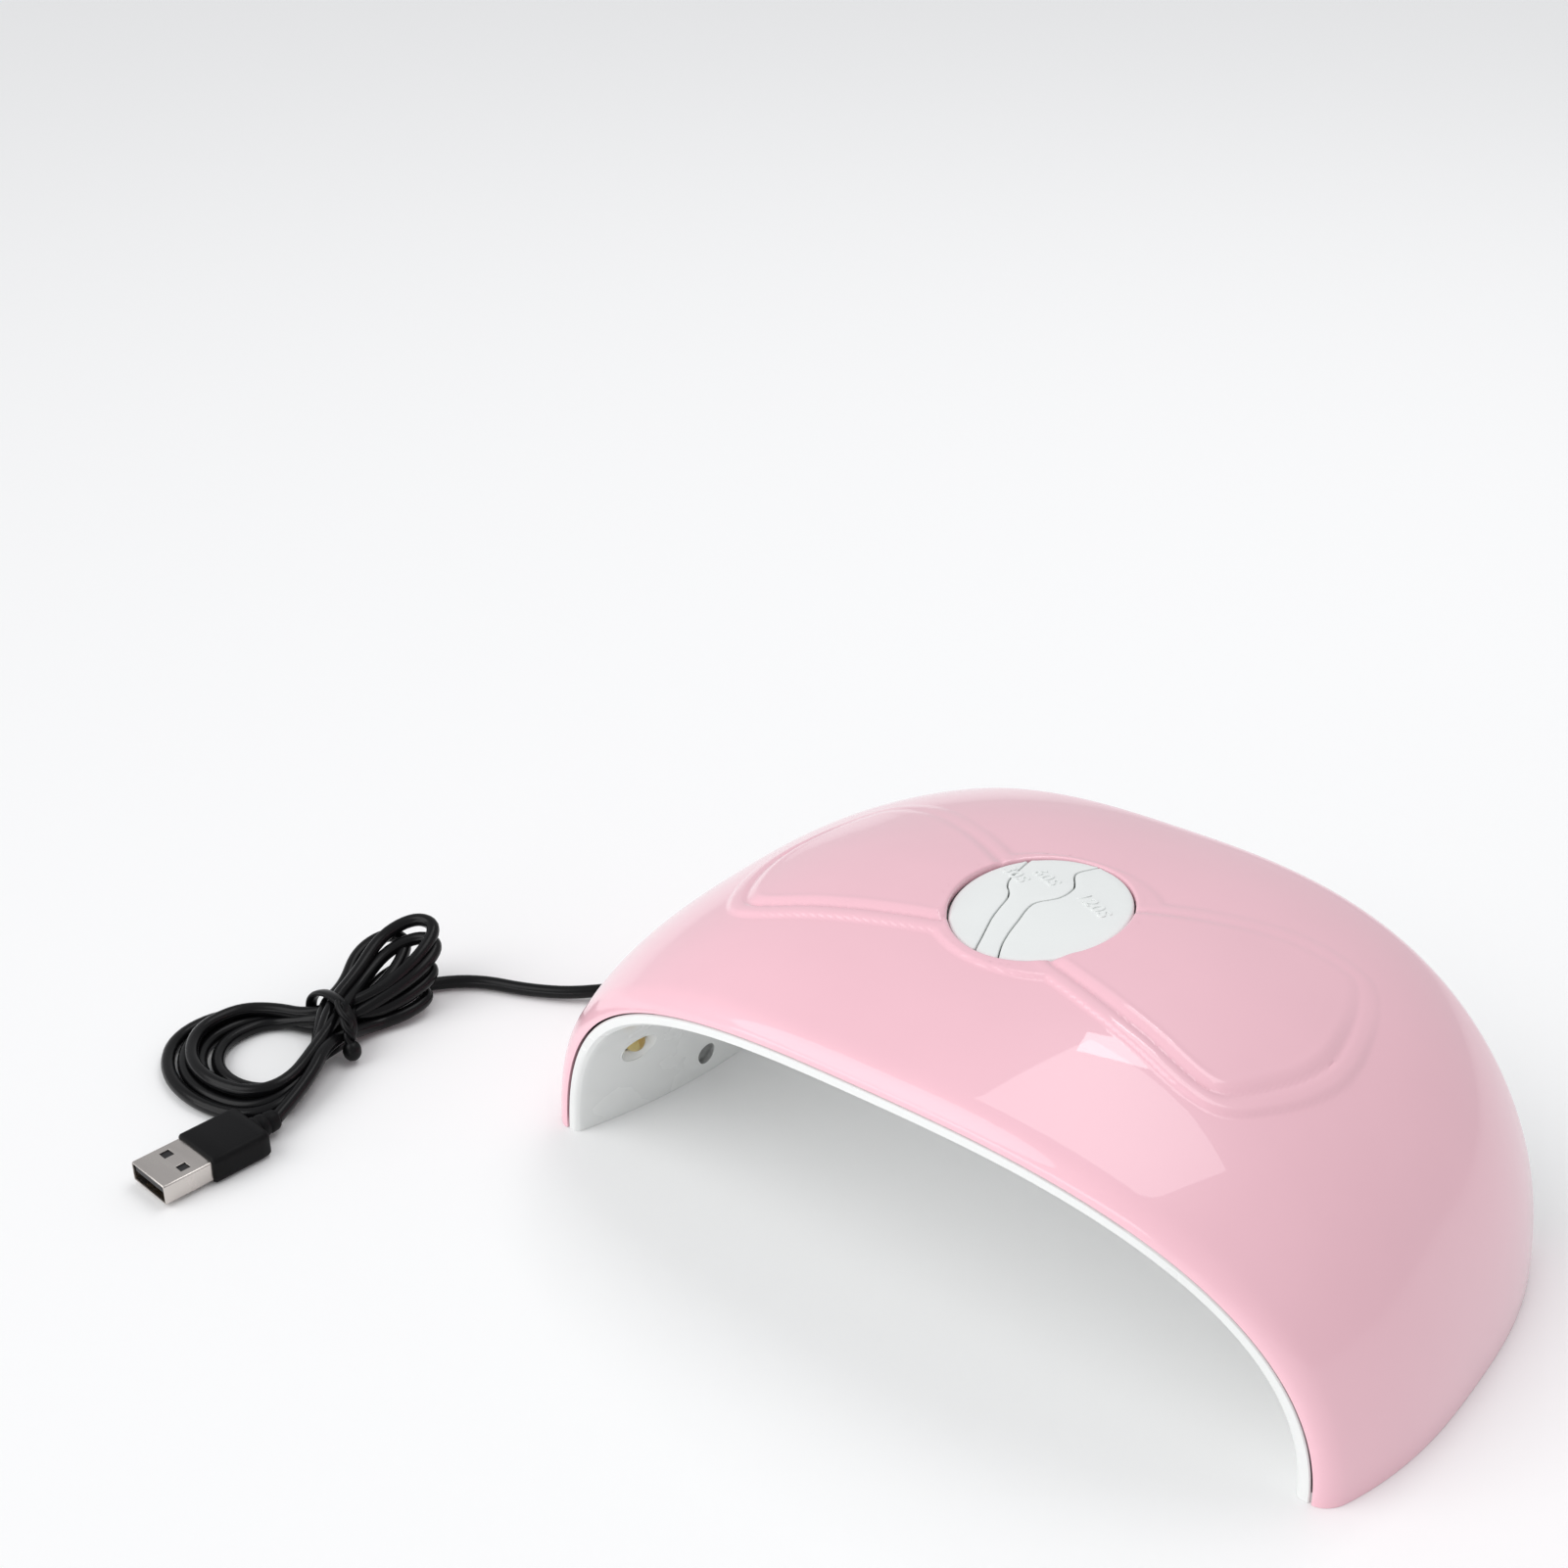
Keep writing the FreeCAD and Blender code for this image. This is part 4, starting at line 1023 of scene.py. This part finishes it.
def plug_shell(front, zc):
    """The folded metal shell, open at its tip, with two windows in its top."""
    tip = front - SHELL_OUT
    outer = rounded_section(SHELL_W, SHELL_H, 0.45, 5)
    inner = rounded_section(SHELL_W - 2 * SHELL_WALL, SHELL_H - 2 * SHELL_WALL, 0.2, 5)
    count = len(outer)
    rings = [(front + 3.0, outer, 0.0), (tip + 0.35, outer, 0.0), (tip + 0.08, outer, 0.06), (tip, outer, 0.16),
             (tip, inner, 0.0), (tip + 0.5, inner, 0.0), (front + 2.6, inner, 0.0)]
    verts = []
    for y, loop, inset in rings:
        for x, z in loop:
            verts.append(plug_point(x * (1 - inset / 6.0), y, zc + z * (1 - inset / 2.3)))
    faces = ring_faces(len(rings), count) + end_faces(len(rings), count)
    shell = mesh_object("usb_shell", verts, faces, NICKEL)
    tools = []
    for x in (-3.0, 3.0):
        corners = [plug_point(x + sx * 1.1, tip + 6.3 + sy * 1.1, z)
                   for z in (-1.0, 9.0) for sy in (-1, 1) for sx in (-1, 1)]
        tools.append((corners, [(0, 1, 3, 2), (4, 6, 7, 5), (0, 4, 5, 1), (1, 5, 7, 3), (3, 7, 6, 2), (2, 6, 4, 0)]))
    verts, faces = joined(tools)
    tool = mesh_object("window_tool", verts, faces, NICKEL, smooth_shade=False)
    cut = shell.modifiers.new("windows", "BOOLEAN")
    cut.object = tool
    cut.operation = "DIFFERENCE"
    bake(shell)
    bpy.data.objects.remove(tool)
    bevel(shell, 0.07, 2, 50.0)
    sharp_by_angle(shell, 40.0)
    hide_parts("plug_shell")
    return shell


def strain_relief():
    """Moulded rubber insert in the notch and the tapered sleeve that the cable leaves by."""
    outline = notch_outline()
    outline = [(NOTCH_Y + (py - NOTCH_Y) * 0.965, max(0.5, pz * 0.97)) for py, pz in outline]
    count = len(outline)
    rings = [(-87.0, 1.0), (-95.0, 1.0), (-95.6, 0.97), (-95.9, 0.91)]
    verts = []
    for x, share in rings:
        for py, pz in outline:
            verts.append((x, NOTCH_Y + (py - NOTCH_Y) * share, 4.3 + (pz - 4.3) * share))
    faces = ring_faces(len(rings), count) + end_faces(len(rings), count)
    block = (verts, faces)
    start, end = Vector((-95.0, NOTCH_Y, 4.4)), Vector(LEAD_ROUTE[0])
    axis = end - start
    length = axis.length
    profile = [(0.2, 0.0)]
    for i in range(14):
        d = length * (0.05 + 0.93 * i / 13.0)
        groove = 0.3 if i % 3 == 2 else 0.0
        profile.append((3.2 - 1.2 * i / 13.0 - groove, d))
    profile += [(1.75, length * 1.02), (1.5, length * 1.03)]
    verts, faces = joined([block, lathe(profile, start, axis, 36)])
    obj = mesh_object("cable_sleeve", verts, faces, MATTE_BLACK)
    sharp_by_angle(obj, 38.0)
    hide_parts("strain_relief")
    return obj


# ---------------------------------------------------------------- stage

def stage():
    """Plain pale floor."""
    mat, tree, shader = nodes_of("floor")
    shader.inputs["Base Color"].default_value = (0.97, 0.97, 0.97, 1)
    shader.inputs["Roughness"].default_value = 0.6
    bm = bmesh.new()
    bmesh.ops.create_grid(bm, x_segments=4, y_segments=4, size=6.0)
    mesh = bpy.data.meshes.new("floor")
    bm.to_mesh(mesh)
    bm.free()
    floor = bpy.data.objects.new("floor", mesh)
    floor.location = (0, 0, -0.00005)
    mesh.materials.append(mat)
    bpy.context.collection.objects.link(floor)


def area_light(name, place, target, size, power):
    """Rectangular light aimed at the target."""
    data = bpy.data.lights.new(name, "AREA")
    data.shape = "RECTANGLE"
    data.size, data.size_y = size
    data.energy = power
    obj = bpy.data.objects.new(name, data)
    obj.location = place
    obj.rotation_euler = (Vector(target) - Vector(place)).to_track_quat("-Z", "Y").to_euler()
    bpy.context.collection.objects.link(obj)
    return obj


def softbox(name, bearing, elevation, size, power, distance=1.15):
    """A light seen mirrored in the glossy cover, aimed at the crown; bearing is from +Y towards +X."""
    bearing, elevation = math.radians(bearing), math.radians(elevation)
    crown = Vector((0.02, -0.01, 0.062))
    way = Vector((math.sin(bearing) * math.cos(elevation), math.cos(bearing) * math.cos(elevation),
                  math.sin(elevation)))
    return area_light(name, crown + way * distance, crown, size, power)


def lights_and_camera():
    """White world, a broad sun, two area lights and one softbox, and the camera."""
    world = bpy.data.worlds.new("world")
    world.use_nodes = True
    world.node_tree.nodes["Background"].inputs["Color"].default_value = (0.97, 0.98, 1.0, 1)
    world.node_tree.nodes["Background"].inputs["Strength"].default_value = 0.55
    bpy.context.scene.world = world
    sun = bpy.data.lights.new("sky_key", "SUN")
    sun.energy = 1.15
    sun.angle = math.radians(50.0)
    holder = bpy.data.objects.new("sky_key", sun)
    holder.rotation_euler = Vector((0.55, 0.80, -0.95)).to_track_quat("-Z", "Y").to_euler()
    bpy.context.collection.objects.link(holder)
    area_light("top", (0.1, 0.4, 1.3), (0, 0, 0.02), (1.0, 0.6), 3.6)
    area_light("fill", (-0.25, -1.10, 0.20), (0, 0, 0.03), (1.4, 0.3), 3.4)
    softbox("softbox_low", -15.0, 54.0, (0.22, 0.10), 0.30)
    cam = bpy.data.cameras.new("camera")
    cam.sensor_width = 36.0
    cam.lens = 49.86
    cam.clip_start = 0.01
    obj = bpy.data.objects.new("camera", cam)
    azimuth, elevation = math.radians(38.13), math.radians(27.54)
    look = Vector((-math.sin(azimuth) * math.cos(elevation), math.cos(azimuth) * math.cos(elevation),
                   -math.sin(elevation)))
    obj.location = (0.17908, -0.30680, 0.27342)
    obj.rotation_mode = "QUATERNION"
    obj.rotation_quaternion = look.to_track_quat("-Z", "Y")
    bpy.context.collection.objects.link(obj)
    bpy.context.scene.camera = obj
    bpy.context.scene.view_settings.view_transform = "Standard"


def main():
    dress_frame()
    cover_shell()
    vault_shell()
    vault_cups()
    foot_soles()
    for name, outline in key_regions().items():
        key_mesh(name, outline)
    key_labels()
    sleeve = strain_relief()
    pieces = cable_tie() + plug() + [sleeve, "plug_tongue", "plug_contacts"]
    power_cord()
    stage()
    lights_and_camera()


main()
